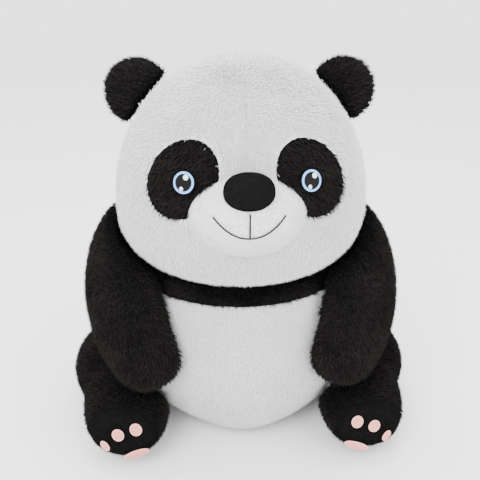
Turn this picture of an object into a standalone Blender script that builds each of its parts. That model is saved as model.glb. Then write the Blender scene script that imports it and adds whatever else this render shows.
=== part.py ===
"""A large plush panda, sitting, as its sewn panels, stuffing cores and embroidered details.

Metres, +Z up, the face towards -Y. The origin is on the floor, under the middle of the toy.
"Left" is the toy's own left, which is +X.
"""

import math

import bmesh
import bpy
from mathutils import Matrix, Vector
from mathutils.bvhtree import BVHTree

# Fabric and stuffing
PLUSH = 0.006  # plush fabric with its pile
VELOUR = 0.003  # short-pile fabric of the muzzle, nose and soles
CORE_GAP = 0.0005  # between a fabric and its stuffing
SEAM_GAP = 0.0004  # between two panels that are sewn together
LAY_GAP = 0.0004  # under a patch or stitching that lies on a fabric

# Torso
TORSO_Y = 0.064
TORSO_HALF_WIDTH = 0.178
TORSO_HALF_DEPTH = 0.197
TORSO_WIDEST_Z = 0.115
TORSO_TOP_Z = 0.320
TORSO_BELOW = 0.146  # the form would reach this far under its widest level, and the floor flattens it
TORSO_LOW_POWER = 2.2
BELLY_FORWARD = 0.027  # how far the belly sags forwards of the chest
BELLY_TAPER = 0.38  # how much narrower the belly's front gets towards the floor
BELLY_TAPER_Z = 0.095  # where that begins
YOKE_Z = 0.196  # the seam between the white panels and the black yoke
SIDE_SEAM_Y = 0.040
SEAT_Y = TORSO_Y - BELLY_FORWARD
BASE_HALF_WIDTH = 0.064
BASE_HALF_DEPTH = 0.072
POUCH_RADIUS = 0.052
POUCH_HEIGHT = 0.030

# Head
HEAD_CENTRE = Vector((0.0, -0.024, 0.310))
HEAD_HALF_WIDTH = 0.157
HEAD_HALF_DEPTH = 0.141
HEAD_ABOVE = 0.177
HEAD_BELOW = 0.099
HEAD_LOW_POWER = 2.6
NECK_RADIUS = 0.045
NECK_GAP = 0.0065  # lets the head turn in the dish of the yoke

# Muzzle, nose and mouth
MUZZLE_CENTRE = Vector((0.0, -0.122, 0.327))
MUZZLE_RADII = Vector((0.070, 0.062, 0.054))
NOSE_CENTRE = Vector((0.0, -0.170, 0.361))
NOSE_RADII = Vector((0.027, 0.020, 0.0205))
MOUTH_THREAD = 0.0010  # radius
SMILE_HALF_WIDTH = 0.037
SMILE_END_Z = 0.336
SMILE_LOW_Z = 0.315
MOUTH_RISE = 0.0008  # clears the flats of the muzzle's form
NOSE_TO_MOUTH = 0.003  # between the nose and the line under it

# Eyes
PATCH_CENTRE = (0.0685, 0.3635)  # x, z
PATCH_HALF_AXES = (0.0335, 0.0460)
PATCH_LEAN = 38.0  # degrees, the top towards the nose
PATCH_THICK = 0.004
EYE_CENTRE = (0.0665, 0.3650)
EYE_RADIUS = 0.0116
EYE_RING = 0.0027
EYE_THICK = 0.0012
EYE_RISE = 0.0012  # of the eye's middle over the patch
GLINT_THICK = 0.0006
# Each glint: its radius and its place across and up the eye
GLINTS = (
    ("large", 0.0026, 0.0031, 0.0046),
    ("small", 0.0018, -0.0027, -0.0053),
)

# Ears
EAR_ROOT = Vector((0.1106, -0.009, 0.428))
EAR_OUT = Vector((0.815, 0.0, 0.579))  # from the root to the rim
EAR_CENTRE_OUT = 0.014
EAR_RADIUS = 0.043
EAR_HALF_THICK = 0.016
EAR_GAP = 0.0045
EAR_FOLD = 12.0

# Arms: along the middle line from the shoulder to the tip of the paw, x, y, z and two radii
ARM_LINE = (
    (0.104, 0.040, 0.300, 0.048, 0.048),
    (0.137, 0.008, 0.250, 0.056, 0.056),
    (0.146, -0.036, 0.204, 0.058, 0.058),
    (0.132, -0.088, 0.158, 0.061, 0.061),
    (0.102, -0.150, 0.114, 0.062, 0.058),
)
ARM_POWER = 2.5
ARM_GAP = 0.003
SHOULDER = Vector((0.118, 0.026, 0.250))
ARM_SWING = 30.0

# Legs: from the haunch to the sole, x, y, z and two radii
LEG_LINE = (
    (0.146, 0.082, 0.054, 0.058, 0.050),
    (0.168, 0.038, 0.056, 0.064, 0.051),
    (0.174, -0.006, 0.053, 0.062, 0.050),
    (0.160, -0.050, 0.047, 0.057, 0.046),
    (0.150, -0.112, 0.048, 0.062, 0.047),
    (0.148, -0.178, 0.050, 0.060, 0.045),
)
LEG_POWER = 3.0
LEG_GAP = 0.003
HIP = Vector((0.120, 0.088, 0.054))
LEG_SPLAY = 15.0
REST_Z = 0.096  # the paws lie on the legs at this level
REST_GAP = 0.002

# Soles and pads
SOLE_CENTRE = Vector((0.151, -0.164, 0.050))
SOLE_TURN = 10.0  # degrees outwards
SOLE_LEAN = 8.0  # degrees upwards
SOLE_HALF_WIDTH = 0.046
SOLE_HALF_HEIGHT = 0.037
PAD_THICK = 0.0012
# Each pad: its place across and up the sole, half axes and lean, the across axis pointing outwards
PADS = (
    ("heel_pad", -0.016, -0.019, 0.0168, 0.0090, -24.0),
    ("inner_toe_pad", -0.017, 0.0140, 0.0074, 0.0080, 0.0),
    ("middle_toe_pad", 0.005, 0.0050, 0.0074, 0.0078, -15.0),
    ("outer_toe_pad", 0.0215, -0.0110, 0.0045, 0.0074, -35.0),
)

# Fineness
BODY_SEGMENTS, BODY_RINGS = 22, 14
LIMB_SEGMENTS, LIMB_RINGS = 12, 9
SMALL_SEGMENTS, SMALL_RINGS = 12, 6
DISC_SIDES = 20
FAR = 1.0  # reach of a cutter that takes everything past a plane

COLOURS = {
    "white_plush": ((0.86, 0.86, 0.85), 0.95),
    "black_plush": ((0.012, 0.012, 0.013), 0.90),
    "white_velour": ((0.84, 0.83, 0.85), 0.85),
    "black_velour": ((0.015, 0.015, 0.016), 0.80),
    "pink_embroidery": ((0.86, 0.52, 0.49), 0.60),
    "blue_embroidery": ((0.42, 0.62, 0.86), 0.50),
    "black_embroidery": ((0.02, 0.02, 0.022), 0.50),
    "white_embroidery": ((0.90, 0.92, 0.95), 0.50),
    "polyester_fibre": ((0.90, 0.90, 0.88), 1.0),
    "pouch_cloth": ((0.70, 0.70, 0.66), 0.90),
}


def clear_scene():
    for old in list(bpy.data.objects):
        bpy.data.objects.remove(old, do_unlink=True)


def collection(name):
    made = bpy.data.collections.new(name)
    bpy.context.scene.collection.children.link(made)
    return made


def material(name):
    """The material of this name, made on its first use."""
    found = bpy.data.materials.get(name)
    if found:
        return found
    colour, roughness = COLOURS[name]
    made = bpy.data.materials.new(name)
    made.use_nodes = True
    shader = made.node_tree.nodes["Principled BSDF"]
    shader.inputs["Base Color"].default_value = (*colour, 1.0)
    shader.inputs["Roughness"].default_value = roughness
    shader.inputs["Metallic"].default_value = 0.0
    return made


# Meshes


def mesh_from(bm, name):
    """A mesh of this closed form in triangles, its faces outwards."""
    bmesh.ops.triangulate(bm, faces=bm.faces)
    bmesh.ops.recalc_face_normals(bm, faces=bm.faces)
    if bm.calc_volume(signed=True) < 0:
        bmesh.ops.reverse_faces(bm, faces=bm.faces)
    made = bpy.data.meshes.new(name)
    bm.to_mesh(made)
    bm.free()
    return made


def shaped_sphere(name, shape, segments, rings):
    """A sphere whose points are moved by shape, a function from the unit sphere to the toy's space."""
    bm = bmesh.new()
    bmesh.ops.create_uvsphere(bm, u_segments=segments, v_segments=rings, radius=1.0)
    for vertex in bm.verts:
        vertex.co = shape(vertex.co.copy())
    return mesh_from(bm, name)


def grown(mesh, by):
    """A copy of a closed mesh with each point moved out along its normal, or in where by is negative."""
    bm = bmesh.new()
    bm.from_mesh(mesh)
    bm.normal_update()
    moves = [vertex.normal * by for vertex in bm.verts]
    for vertex, move in zip(bm.verts, moves):
        vertex.co += move
    return mesh_from(bm, f"{mesh.name}_grown")


def block(name, low, high):
    """A box between two corners."""
    bm = bmesh.new()
    bmesh.ops.create_cube(bm, size=1.0)
    size = Vector(high) - Vector(low)
    middle = (Vector(high) + Vector(low)) / 2
    bmesh.ops.scale(bm, vec=size, verts=bm.verts)
    bmesh.ops.translate(bm, vec=middle, verts=bm.verts)
    return mesh_from(bm, name)


def drum(name, half_width, half_depth, height, sides=DISC_SIDES):
    """An elliptical disc or bar about +Z, its middle at the origin."""
    bm = bmesh.new()
    bmesh.ops.create_cone(
        bm, cap_ends=True, segments=sides, radius1=1.0, radius2=1.0, depth=height
    )
    bmesh.ops.scale(bm, vec=(half_width, half_depth, 1.0), verts=bm.verts)
    return mesh_from(bm, name)


def moved(mesh, matrix):
    """The mesh itself, after it takes the matrix."""
    mesh.transform(matrix)
    if matrix.determinant() < 0:
        mesh.flip_normals()
    return mesh


# Forms of the soft bodies, from the unit sphere to the toy's space


def super_round(across, along, power):
    """The across and along shares of a unit circle, made fuller (power over 2) or leaner (under 2)."""
    return across ** (2.0 / power), along ** (2.0 / power)


def torso_point(u):
    across = math.hypot(u.x, u.y)
    turn = math.atan2(u.y, u.x)
    if u.z >= 0:
        height = u.z * (TORSO_TOP_Z - TORSO_WIDEST_Z)
    else:
        across, down = super_round(across, -u.z, TORSO_LOW_POWER)
        height = -down * TORSO_BELOW
    z = max(TORSO_WIDEST_Z + height, 0.0)
    sag = BELLY_FORWARD * min(1.0, max(0.0, 1.0 - z / YOKE_Z))
    front = max(0.0, -math.sin(turn))
    taper = BELLY_TAPER * front**2 * max(0.0, 1.0 - z / BELLY_TAPER_Z)
    return Vector(
        (
            TORSO_HALF_WIDTH * (1.0 - taper) * across * math.cos(turn),
            TORSO_Y - sag + TORSO_HALF_DEPTH * across * math.sin(turn),
            z,
        )
    )


def head_point(u):
    across = math.hypot(u.x, u.y)
    turn = math.atan2(u.y, u.x)
    if u.z >= 0:
        height = u.z * HEAD_ABOVE
    else:
        across, down = super_round(across, -u.z, HEAD_LOW_POWER)
        height = -down * HEAD_BELOW
    return HEAD_CENTRE + Vector(
        (
            HEAD_HALF_WIDTH * across * math.cos(turn),
            HEAD_HALF_DEPTH * across * math.sin(turn),
            height,
        )
    )


def ellipsoid(centre, radii):
    def point(u):
        return centre + Vector((u.x * radii.x, u.y * radii.y, u.z * radii.z))

    return point


def on_line(line, share):
    """A smooth curve through the rows of a line, at a share of its way: five numbers."""
    last = len(line) - 1
    place = min(max(share, 0.0), 1.0) * last
    i = min(int(place), last - 1)
    t = place - i
    rows = [line[min(max(k, 0), last)] for k in (i - 1, i, i + 1, i + 2)]
    return [
        0.5
        * (
            2 * b
            + (c - a) * t
            + (2 * a - 5 * b + 4 * c - d) * t**2
            + (3 * b - a - 3 * c + d) * t**3
        )
        for a, b, c, d in zip(*rows)
    ]


def limb(line, power, side, outward):
    """A bent, stuffed tube with round ends. Its first radius lies along outward, its second across that."""
    step = 0.02

    def point(u):
        share = (1.0 - u.z) / 2.0
        x, y, z, wide, high = on_line(line, share)
        ahead = Vector(on_line(line, share + step)[:3])
        behind = Vector(on_line(line, share - step)[:3])
        along = (ahead - behind).normalized()
        first = (outward - outward.dot(along) * along).normalized()
        second = along.cross(first)
        width = max(0.0, 1.0 - abs(u.z) ** power) ** (1.0 / power)
        turn = math.atan2(u.y, u.x)
        place = Vector((x, y, z)) + width * (
            wide * math.cos(turn) * first + high * math.sin(turn) * second
        )
        return Vector((side * place.x, place.y, place.z))

    return point


def ear_point(side):
    out = EAR_OUT.normalized()
    along = out.cross(Vector((0, 1, 0)))
    centre = EAR_ROOT + EAR_CENTRE_OUT * out

    def point(u):
        place = (
            centre
            + EAR_RADIUS * (u.x * out + u.y * along)
            + Vector((0, u.z * EAR_HALF_THICK, 0))
        )
        return Vector((side * place.x, place.y, place.z))

    return point


# Solids and cutters


class Workshop:
    """Makes the toy's solids and the cutters that shape them."""

    def __init__(self):
        self.parts = collection("plush_panda")
        self.cutters = collection("cutters")
        self.cutters.hide_render = True
        self.count = 0

    def solid(self, name, mesh, finish, cuts=(), keep=()):
        """A part of this mesh. Each of cuts is taken away from it, and it stays inside each of keep."""
        made = bpy.data.objects.new(name, mesh.copy())
        made.data.name = name
        self.parts.objects.link(made)
        made.data.materials.clear()
        made.data.materials.append(material(finish))
        for operation, tools in (("INTERSECT", keep), ("DIFFERENCE", cuts)):
            for tool in tools:
                step = made.modifiers.new(f"{operation.lower()}_{tool.name}", "BOOLEAN")
                step.operation = operation
                step.object = tool
        return made

    def cutter(self, mesh, matrix=None):
        """A hidden tool of this mesh."""
        self.count += 1
        made = bpy.data.objects.new(f"cutter_{self.count:03d}", mesh)
        self.cutters.objects.link(made)
        made.hide_render = True
        made.display_type = "WIRE"
        if matrix is not None:
            made.matrix_world = matrix
        return made

    def past(self, axis, at, sign):
        """A cutter of everything past a plane square to an axis, on the side of the sign."""
        low, high = [-FAR] * 3, [FAR] * 3
        if sign > 0:
            low[axis] = at
        else:
            high[axis] = at
        return self.cutter(block("past", low, high))


def about(centre, axis, degrees):
    """The matrix that turns by degrees about an axis through centre."""
    turn = Matrix.Rotation(math.radians(degrees), 4, axis)
    return Matrix.Translation(centre) @ turn @ Matrix.Translation(-centre)


def sweep(shop, mesh, centre, axis, angles):
    """The same cutter at several angles, so that a piece clears it through its whole travel."""
    return [shop.cutter(mesh, about(centre, axis, angle)) for angle in angles]


def mirrored(point, side):
    return Vector((side * point.x, point.y, point.z))


def side_name(side):
    return "left" if side > 0 else "right"


# The toy


class Panda:
    """The forms that several pieces share, and the pieces made from them."""

    def __init__(self, shop):
        self.shop = shop
        self.torso = shaped_sphere("torso_form", torso_point, BODY_SEGMENTS, BODY_RINGS)
        self.head = shaped_sphere("head_form", head_point, BODY_SEGMENTS, BODY_RINGS)
        self.muzzle = shaped_sphere(
            "muzzle_form",
            ellipsoid(MUZZLE_CENTRE, MUZZLE_RADII),
            SMALL_SEGMENTS + 4,
            SMALL_RINGS + 4,
        )
        self.head_room = shop.cutter(grown(self.head, NECK_GAP))

    def make_torso(self):
        shop, half_gap = self.shop, SEAM_GAP / 2
        inside = shop.cutter(grown(self.torso, -PLUSH))
        base_tool = self.base_tool(-SEAM_GAP)
        base_room = self.base_tool(0.0)
        above = shop.past(2, YOKE_Z - half_gap, 1)
        below = shop.past(2, YOKE_Z + half_gap, -1)
        in_front = shop.past(1, SIDE_SEAM_Y + half_gap, -1)
        behind = shop.past(1, SIDE_SEAM_Y - half_gap, 1)
        left_half = shop.past(0, -half_gap, 1)
        right_half = shop.past(0, half_gap, -1)
        solid = shop.solid
        solid("belly_panel", self.torso, "white_plush", (inside, above, behind, base_room))
        back = (inside, above, in_front, base_room)
        solid("left_back_panel", self.torso, "white_plush", (*back, right_half))
        solid("right_back_panel", self.torso, "white_plush", (*back, left_half))
        yoke = (inside, below, self.head_room)
        solid("front_yoke", self.torso, "black_plush", (*yoke, behind))
        solid("back_yoke", self.torso, "black_plush", (*yoke, in_front))
        solid("base_panel", self.torso, "white_plush", (inside,), (base_tool,))
        core = grown(self.torso, -PLUSH - CORE_GAP)
        dish = shop.cutter(grown(self.head, NECK_GAP + PLUSH))
        pouch_room = shop.cutter(self.pouch_mesh(CORE_GAP, to_floor=True))
        solid("torso_stuffing", core, "polyester_fibre", (dish, pouch_room))
        solid("pellet_pouch", self.pouch_mesh(0.0), "pouch_cloth")

    def base_tool(self, by):
        """An oval bar that cuts the base panel out of the torso's skin."""
        bar = drum(
            "base", BASE_HALF_WIDTH + by, BASE_HALF_DEPTH + by, 2 * TORSO_WIDEST_Z
        )
        return self.shop.cutter(moved(bar, Matrix.Translation((0, SEAT_Y, 0))))

    def pouch_mesh(self, by, to_floor=False):
        """The bag of pellets in the seat, or the room for it, which is open downwards."""
        low = 0.0 if to_floor else PLUSH + CORE_GAP
        high = PLUSH + CORE_GAP + POUCH_HEIGHT + by
        bag = drum("pouch", POUCH_RADIUS + by, POUCH_RADIUS + by, high - low)
        return moved(bag, Matrix.Translation((0.0, SEAT_Y, (low + high) / 2)))

    def make_head(self):
        shop = self.shop
        inside = shop.cutter(grown(self.head, -PLUSH))
        neck = drum("neck", NECK_RADIUS, NECK_RADIUS, 2 * HEAD_BELOW)
        below_head = HEAD_CENTRE - Vector((0, 0, 1.6 * HEAD_BELOW))
        neck_tool = shop.cutter(moved(neck, Matrix.Translation(below_head)))
        for side in (1, -1):
            other_half = shop.past(0, side * SEAM_GAP / 2, -side)
            name = f"{side_name(side)}_head_panel"
            cuts = (inside, neck_tool, other_half)
            shop.solid(name, self.head, "white_plush", cuts)
        core = grown(self.head, -PLUSH - CORE_GAP)
        shop.solid("head_stuffing", core, "polyester_fibre")

    def make_muzzle(self):
        """The muzzle is a short-pile cap over its own stuffing, sewn to the face."""
        shop = self.shop
        face = shop.cutter(grown(self.head, LAY_GAP))
        hollow = shop.cutter(grown(self.muzzle, -VELOUR))
        core = grown(self.muzzle, -VELOUR - CORE_GAP)
        shop.solid("muzzle_cover", self.muzzle, "white_velour", (face, hollow))
        shop.solid("muzzle_stuffing", core, "polyester_fibre", (face,))
        nose = shaped_sphere(
            "nose_form", ellipsoid(NOSE_CENTRE, NOSE_RADII), SMALL_SEGMENTS, SMALL_RINGS
        )
        under = shop.cutter(grown(self.muzzle, LAY_GAP))
        nose_hollow = shop.cutter(grown(nose, -VELOUR))
        nose_core = grown(nose, -VELOUR - CORE_GAP)
        shop.solid("nose_cover", nose, "black_velour", (under, face, nose_hollow))
        shop.solid("nose_stuffing", nose_core, "polyester_fibre", (under, face))
        self.make_mouth()

    def make_mouth(self):
        """A smile and the line up to the nose, as thread laid on the muzzle."""
        surface = self.surface_of(self.muzzle)
        lift = MOUTH_THREAD + LAY_GAP + MOUTH_RISE
        steps = 12
        smile = []
        for i in range(steps + 1):
            x = SMILE_HALF_WIDTH * (2 * i / steps - 1)
            rise = (x / SMILE_HALF_WIDTH) ** 2
            z = SMILE_LOW_Z + (SMILE_END_Z - SMILE_LOW_Z) * rise
            smile.append(self.laid_on(surface, x, z, lift))
        self.thread("mouth_smile", smile)
        top = NOSE_CENTRE.z - NOSE_RADII.z - NOSE_TO_MOUTH
        low = SMILE_LOW_Z + 3 * MOUTH_THREAD
        line = []
        for i in range(5):
            z = top + (low - top) * i / 4
            line.append(self.laid_on(surface, 0.0, z, lift))
        self.thread("mouth_line", line)

    def surface_of(self, mesh):
        bm = bmesh.new()
        bm.from_mesh(mesh)
        tree = BVHTree.FromBMesh(bm)
        bm.free()
        return tree

    def laid_on(self, surface, x, z, lift):
        """The point over a form's front at x and z, lifted off it along its normal."""
        hit, normal, _, _ = surface.ray_cast(Vector((x, -FAR, z)), Vector((0, 1, 0)))
        return hit + lift * normal

    def thread(self, name, points):
        curve = bpy.data.curves.new(name, "CURVE")
        curve.dimensions = "3D"
        curve.bevel_depth = MOUTH_THREAD
        curve.bevel_resolution = 1
        curve.use_fill_caps = True
        spline = curve.splines.new("POLY")
        spline.points.add(len(points) - 1)
        for target, place in zip(spline.points, points):
            target.co = (*place, 1.0)
        made = bpy.data.objects.new(name, curve)
        self.shop.parts.objects.link(made)
        curve.materials.append(material("black_embroidery"))

    def make_eyes(self, side):
        """The plush patch, and the embroidered eye on it: ring, pupil and two glints."""
        shop, name = self.shop, side_name(side)
        x, z = side * PATCH_CENTRE[0], PATCH_CENTRE[1]
        lean = Matrix.Rotation(math.radians(-side * PATCH_LEAN), 4, "Y")
        bar = drum("patch", PATCH_HALF_AXES[0], PATCH_HALF_AXES[1], 2 * HEAD_HALF_DEPTH)
        lying = Matrix.Rotation(math.radians(90), 4, "X")
        in_front = (x, HEAD_CENTRE.y - HEAD_HALF_DEPTH, z)
        outline = shop.cutter(moved(bar, Matrix.Translation(in_front) @ lean @ lying))
        face = shop.cutter(grown(self.head, LAY_GAP))
        muzzle_room = shop.cutter(grown(self.muzzle, SEAM_GAP))
        nose_room = shop.past(0, side * 0.3 * NOSE_RADII.x, -side)
        outer = grown(self.head, LAY_GAP + PATCH_THICK)
        cuts = (face, muzzle_room, nose_room)
        shop.solid(f"{name}_eye_patch", outer, "black_plush", cuts, (outline,))
        patch = self.surface_of(outer)
        x, z = side * EYE_CENTRE[0], EYE_CENTRE[1]
        hit, normal, _, _ = patch.ray_cast(Vector((x, -FAR, z)), Vector((0, 1, 0)))
        turn = normal.to_track_quat("Z", "Y").to_matrix().to_4x4()
        seat = Matrix.Translation(hit + normal * (LAY_GAP + EYE_RISE)) @ turn
        pupil_radius = EYE_RADIUS - EYE_RING
        self.disc(f"{name}_eye_pupil", seat, pupil_radius - SEAM_GAP, EYE_THICK, "black_embroidery")
        ring = moved(drum("ring", EYE_RADIUS, EYE_RADIUS, EYE_THICK), seat)
        hole = moved(drum("hole", pupil_radius, pupil_radius, 4 * EYE_THICK), seat)
        shop.solid(f"{name}_eye_ring", ring, "blue_embroidery", (shop.cutter(hole),))
        lift = (EYE_THICK + GLINT_THICK) / 2 + LAY_GAP
        for glint, radius, across, up in GLINTS:
            spot = seat @ Matrix.Translation((across, up, lift))
            self.disc(f"{name}_eye_glint_{glint}", spot, radius, GLINT_THICK, "white_embroidery")

    def disc(self, name, seat, radius, thick, finish):
        mesh = moved(drum(name, radius, radius, thick, sides=16), seat)
        self.shop.solid(name, mesh, finish)

    def make_ear(self, side):
        """Front and back panels over a thin stuffing, split at the rim."""
        shop, name = self.shop, side_name(side)
        form = shaped_sphere(f"{name}_ear_form", ear_point(side), SMALL_SEGMENTS + 2, SMALL_RINGS)
        root = mirrored(EAR_ROOT, side)
        chord = mirrored(EAR_OUT.cross(Vector((0, 1, 0))), side)
        room = grown(self.head, EAR_GAP)
        angles = (-EAR_FOLD, 0.0, EAR_FOLD)
        rooms = sweep(shop, room, root, chord, angles)
        inside = shop.cutter(grown(form, -PLUSH / 2))
        front = shop.past(1, EAR_ROOT.y + SEAM_GAP / 2, -1)
        back = shop.past(1, EAR_ROOT.y - SEAM_GAP / 2, 1)
        shop.solid(f"{name}_ear_front", form, "black_plush", (inside, back, *rooms))
        shop.solid(f"{name}_ear_back", form, "black_plush", (inside, front, *rooms))
        core = grown(form, -PLUSH / 2 - CORE_GAP)
        shop.solid(f"{name}_ear_stuffing", core, "polyester_fibre", rooms)

    def sewn_limb(self, name, form, seam, side, rooms_at, cuts=()):
        """Outer and inner panels over a stuffing core, split at x = seam.

        rooms_at gives the cutters that keep a given distance more than the gap from what lies next
        to the limb, so that the fabric goes round the whole core. cuts are taken from all three.
        """
        shop = self.shop
        inside = shop.cutter(grown(form, -PLUSH))
        for room in rooms_at(PLUSH):
            step = inside.modifiers.new(room.name, "BOOLEAN")
            step.operation = "DIFFERENCE"
            step.object = room
        outer_half = shop.past(0, seam - side * SEAM_GAP / 2, side)
        inner_half = shop.past(0, seam + side * SEAM_GAP / 2, -side)
        rooms = (*rooms_at(0.0), *cuts)
        shop.solid(f"{name}_outer_panel", form, "black_plush", (inside, inner_half, *rooms))
        shop.solid(f"{name}_inner_panel", form, "black_plush", (inside, outer_half, *rooms))
        core = grown(form, -PLUSH - CORE_GAP)
        rooms = (*rooms_at(PLUSH + CORE_GAP), *cuts)
        shop.solid(f"{name}_stuffing", core, "polyester_fibre", rooms)

    def make_arm(self, side):
        shop, name = self.shop, f"{side_name(side)}_arm"
        shape = limb(ARM_LINE, ARM_POWER, side, Vector((1, 0, 0)))
        form = shaped_sphere(f"{name}_form", shape, LIMB_SEGMENTS, LIMB_RINGS)
        shoulder = mirrored(SHOULDER, side)
        angles = [-side * share * ARM_SWING for share in (0.0, 0.5, 1.0)]

        def rooms_at(more):
            head_room = grown(self.head, NECK_GAP + ARM_GAP + more)
            torso_room = grown(self.torso, ARM_GAP + more)
            rooms = sweep(shop, head_room, shoulder, "Z", angles)
            rooms += sweep(shop, torso_room, shoulder, "Z", angles)
            rooms.append(shop.past(2, REST_Z + REST_GAP + more, -1))
            return rooms

        self.sewn_limb(name, form, side * ARM_LINE[2][0], side, rooms_at)

    def make_leg(self, side):
        shop, name = self.shop, f"{side_name(side)}_leg"
        shape = limb(LEG_LINE, LEG_POWER, side, Vector((1, 0, 0)))
        form = shaped_sphere(f"{name}_form", shape, LIMB_SEGMENTS, LIMB_RINGS + 2)
        hip = mirrored(HIP, side)
        angles = [-side * share * LEG_SPLAY for share in (0.0, 0.5, 1.0)]

        def rooms_at(more):
            return sweep(shop, grown(self.torso, LEG_GAP + more), hip, "Z", angles)

        facing = self.sole_seat(side)
        ahead = block("ahead", (-FAR, -FAR, -VELOUR - SEAM_GAP), (FAR, FAR, FAR))
        cuts = (shop.cutter(moved(ahead, facing)),)
        self.sewn_limb(name, form, side * LEG_LINE[2][0], side, rooms_at, cuts)
        self.make_sole(side, facing)

    def sole_seat(self, side):
        """The frame of a sole: +Z out of it, +X across it towards the outside, +Y up."""
        turn = Matrix.Rotation(math.radians(SOLE_TURN), 3, "Z")
        lean = Matrix.Rotation(math.radians(-SOLE_LEAN), 3, "X")
        across = turn @ Vector((1, 0, 0))
        up = turn @ lean @ Vector((0, 0, 1))
        out = turn @ lean @ Vector((0, -1, 0))
        axes = [mirrored(axis, side) for axis in (across, up, out)]
        frame = Matrix(axes).transposed().to_4x4()
        return Matrix.Translation(mirrored(SOLE_CENTRE, side)) @ frame

    def make_sole(self, side, facing):
        name = side_name(side)
        plate = drum("sole", SOLE_HALF_WIDTH, SOLE_HALF_HEIGHT, VELOUR, sides=28)
        seat = facing @ Matrix.Translation((0, 0, -VELOUR / 2))
        self.shop.solid(f"{name}_sole", moved(plate, seat), "black_velour")
        for pad, across, up, half_width, half_height, lean in PADS:
            spot = Matrix.Translation((across, up, PAD_THICK / 2 + LAY_GAP))
            turn = Matrix.Rotation(math.radians(lean), 4, "Z")
            mesh = drum(pad, half_width, half_height, PAD_THICK)
            self.shop.solid(f"{name}_{pad}", moved(mesh, facing @ spot @ turn), "pink_embroidery")


def main():
    clear_scene()
    shop = Workshop()
    panda = Panda(shop)
    panda.make_torso()
    panda.make_head()
    panda.make_muzzle()
    for side in (1, -1):
        panda.make_eyes(side)
        panda.make_ear(side)
        panda.make_arm(side)
        panda.make_leg(side)


main()
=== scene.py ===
"""A large sitting plush panda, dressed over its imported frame.

Metres, +Z up, the face towards -Y. "Left" is the toy's own left, which is +X. Each stuffed body is
a sewn cover that a short cloth simulation fills, cut into its panels and given its pile tuft by
tuft; the eyes, the mouth and the pads are laid stitch by stitch.
"""

import sys

import logging
import math
from dataclasses import dataclass, field
from enum import Enum, IntEnum
from functools import cache
from typing import Callable, Iterable, Optional, Sequence

import bmesh
import bpy
import numpy as np
from mathutils import Matrix, Vector, noise
from mathutils.bvhtree import BVHTree


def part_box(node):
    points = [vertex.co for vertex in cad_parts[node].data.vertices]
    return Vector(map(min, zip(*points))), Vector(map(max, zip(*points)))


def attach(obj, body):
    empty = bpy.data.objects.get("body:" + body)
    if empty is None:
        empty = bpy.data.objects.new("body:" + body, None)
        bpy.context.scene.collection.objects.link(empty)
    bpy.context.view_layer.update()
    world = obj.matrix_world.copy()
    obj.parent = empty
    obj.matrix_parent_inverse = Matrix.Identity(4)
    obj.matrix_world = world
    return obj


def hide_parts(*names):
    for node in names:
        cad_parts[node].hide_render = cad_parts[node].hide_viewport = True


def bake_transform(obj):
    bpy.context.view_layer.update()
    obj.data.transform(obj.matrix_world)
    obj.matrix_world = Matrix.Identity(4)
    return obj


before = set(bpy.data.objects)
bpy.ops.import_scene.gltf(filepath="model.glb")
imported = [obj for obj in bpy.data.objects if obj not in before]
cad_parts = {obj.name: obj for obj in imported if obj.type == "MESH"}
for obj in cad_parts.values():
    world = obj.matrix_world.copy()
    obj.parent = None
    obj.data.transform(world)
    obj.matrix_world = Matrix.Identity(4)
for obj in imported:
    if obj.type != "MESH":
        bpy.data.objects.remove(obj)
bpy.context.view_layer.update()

log = logging.getLogger("panda")

Colour = tuple[float, float, float]
Plane = tuple[Vector, Vector]
Range = tuple[float, float]

# Fabric
PILE_DEPTH = 0.0035  # from the outside of the pile to its backing
BACKING = 0.0009
CORE_INSET = 0.0045  # the stuffing lies this far inside the backing
FLOOR_CLEARANCE = 0.0006
SKIN_FLOOR = 0.0028  # the lowest level of the fabric

# Places that several pieces share
YOKE_Z = 0.196
SIDE_SEAM_Y = 0.040
REST_Z = 0.096  # the paws lie on the legs at this level
ARM_GAP = 0.003
LEG_GAP = 0.003
NECK_GAP = 0.0065
SEAM_GAP = 0.0001


class Seed(IntEnum):
    """The first seed of each body's random draws."""

    TORSO = 100
    HEAD = 200
    FACE = 300
    PATCH = 310
    EAR = 400
    ARM = 500
    LEG = 600
    SOLE = 650


class Side(Enum):
    """The toy's own left and right."""

    LEFT = 1
    RIGHT = -1

    @property
    def word(self) -> str:
        """The side as the frame's names say it."""
        return self.name.lower()

    def of(self, point: Vector) -> Vector:
        """A point given for the left, on this side."""
        return Vector((self.value * point.x, point.y, point.z))


# ---------------------------------------------------------------- node trees


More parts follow.
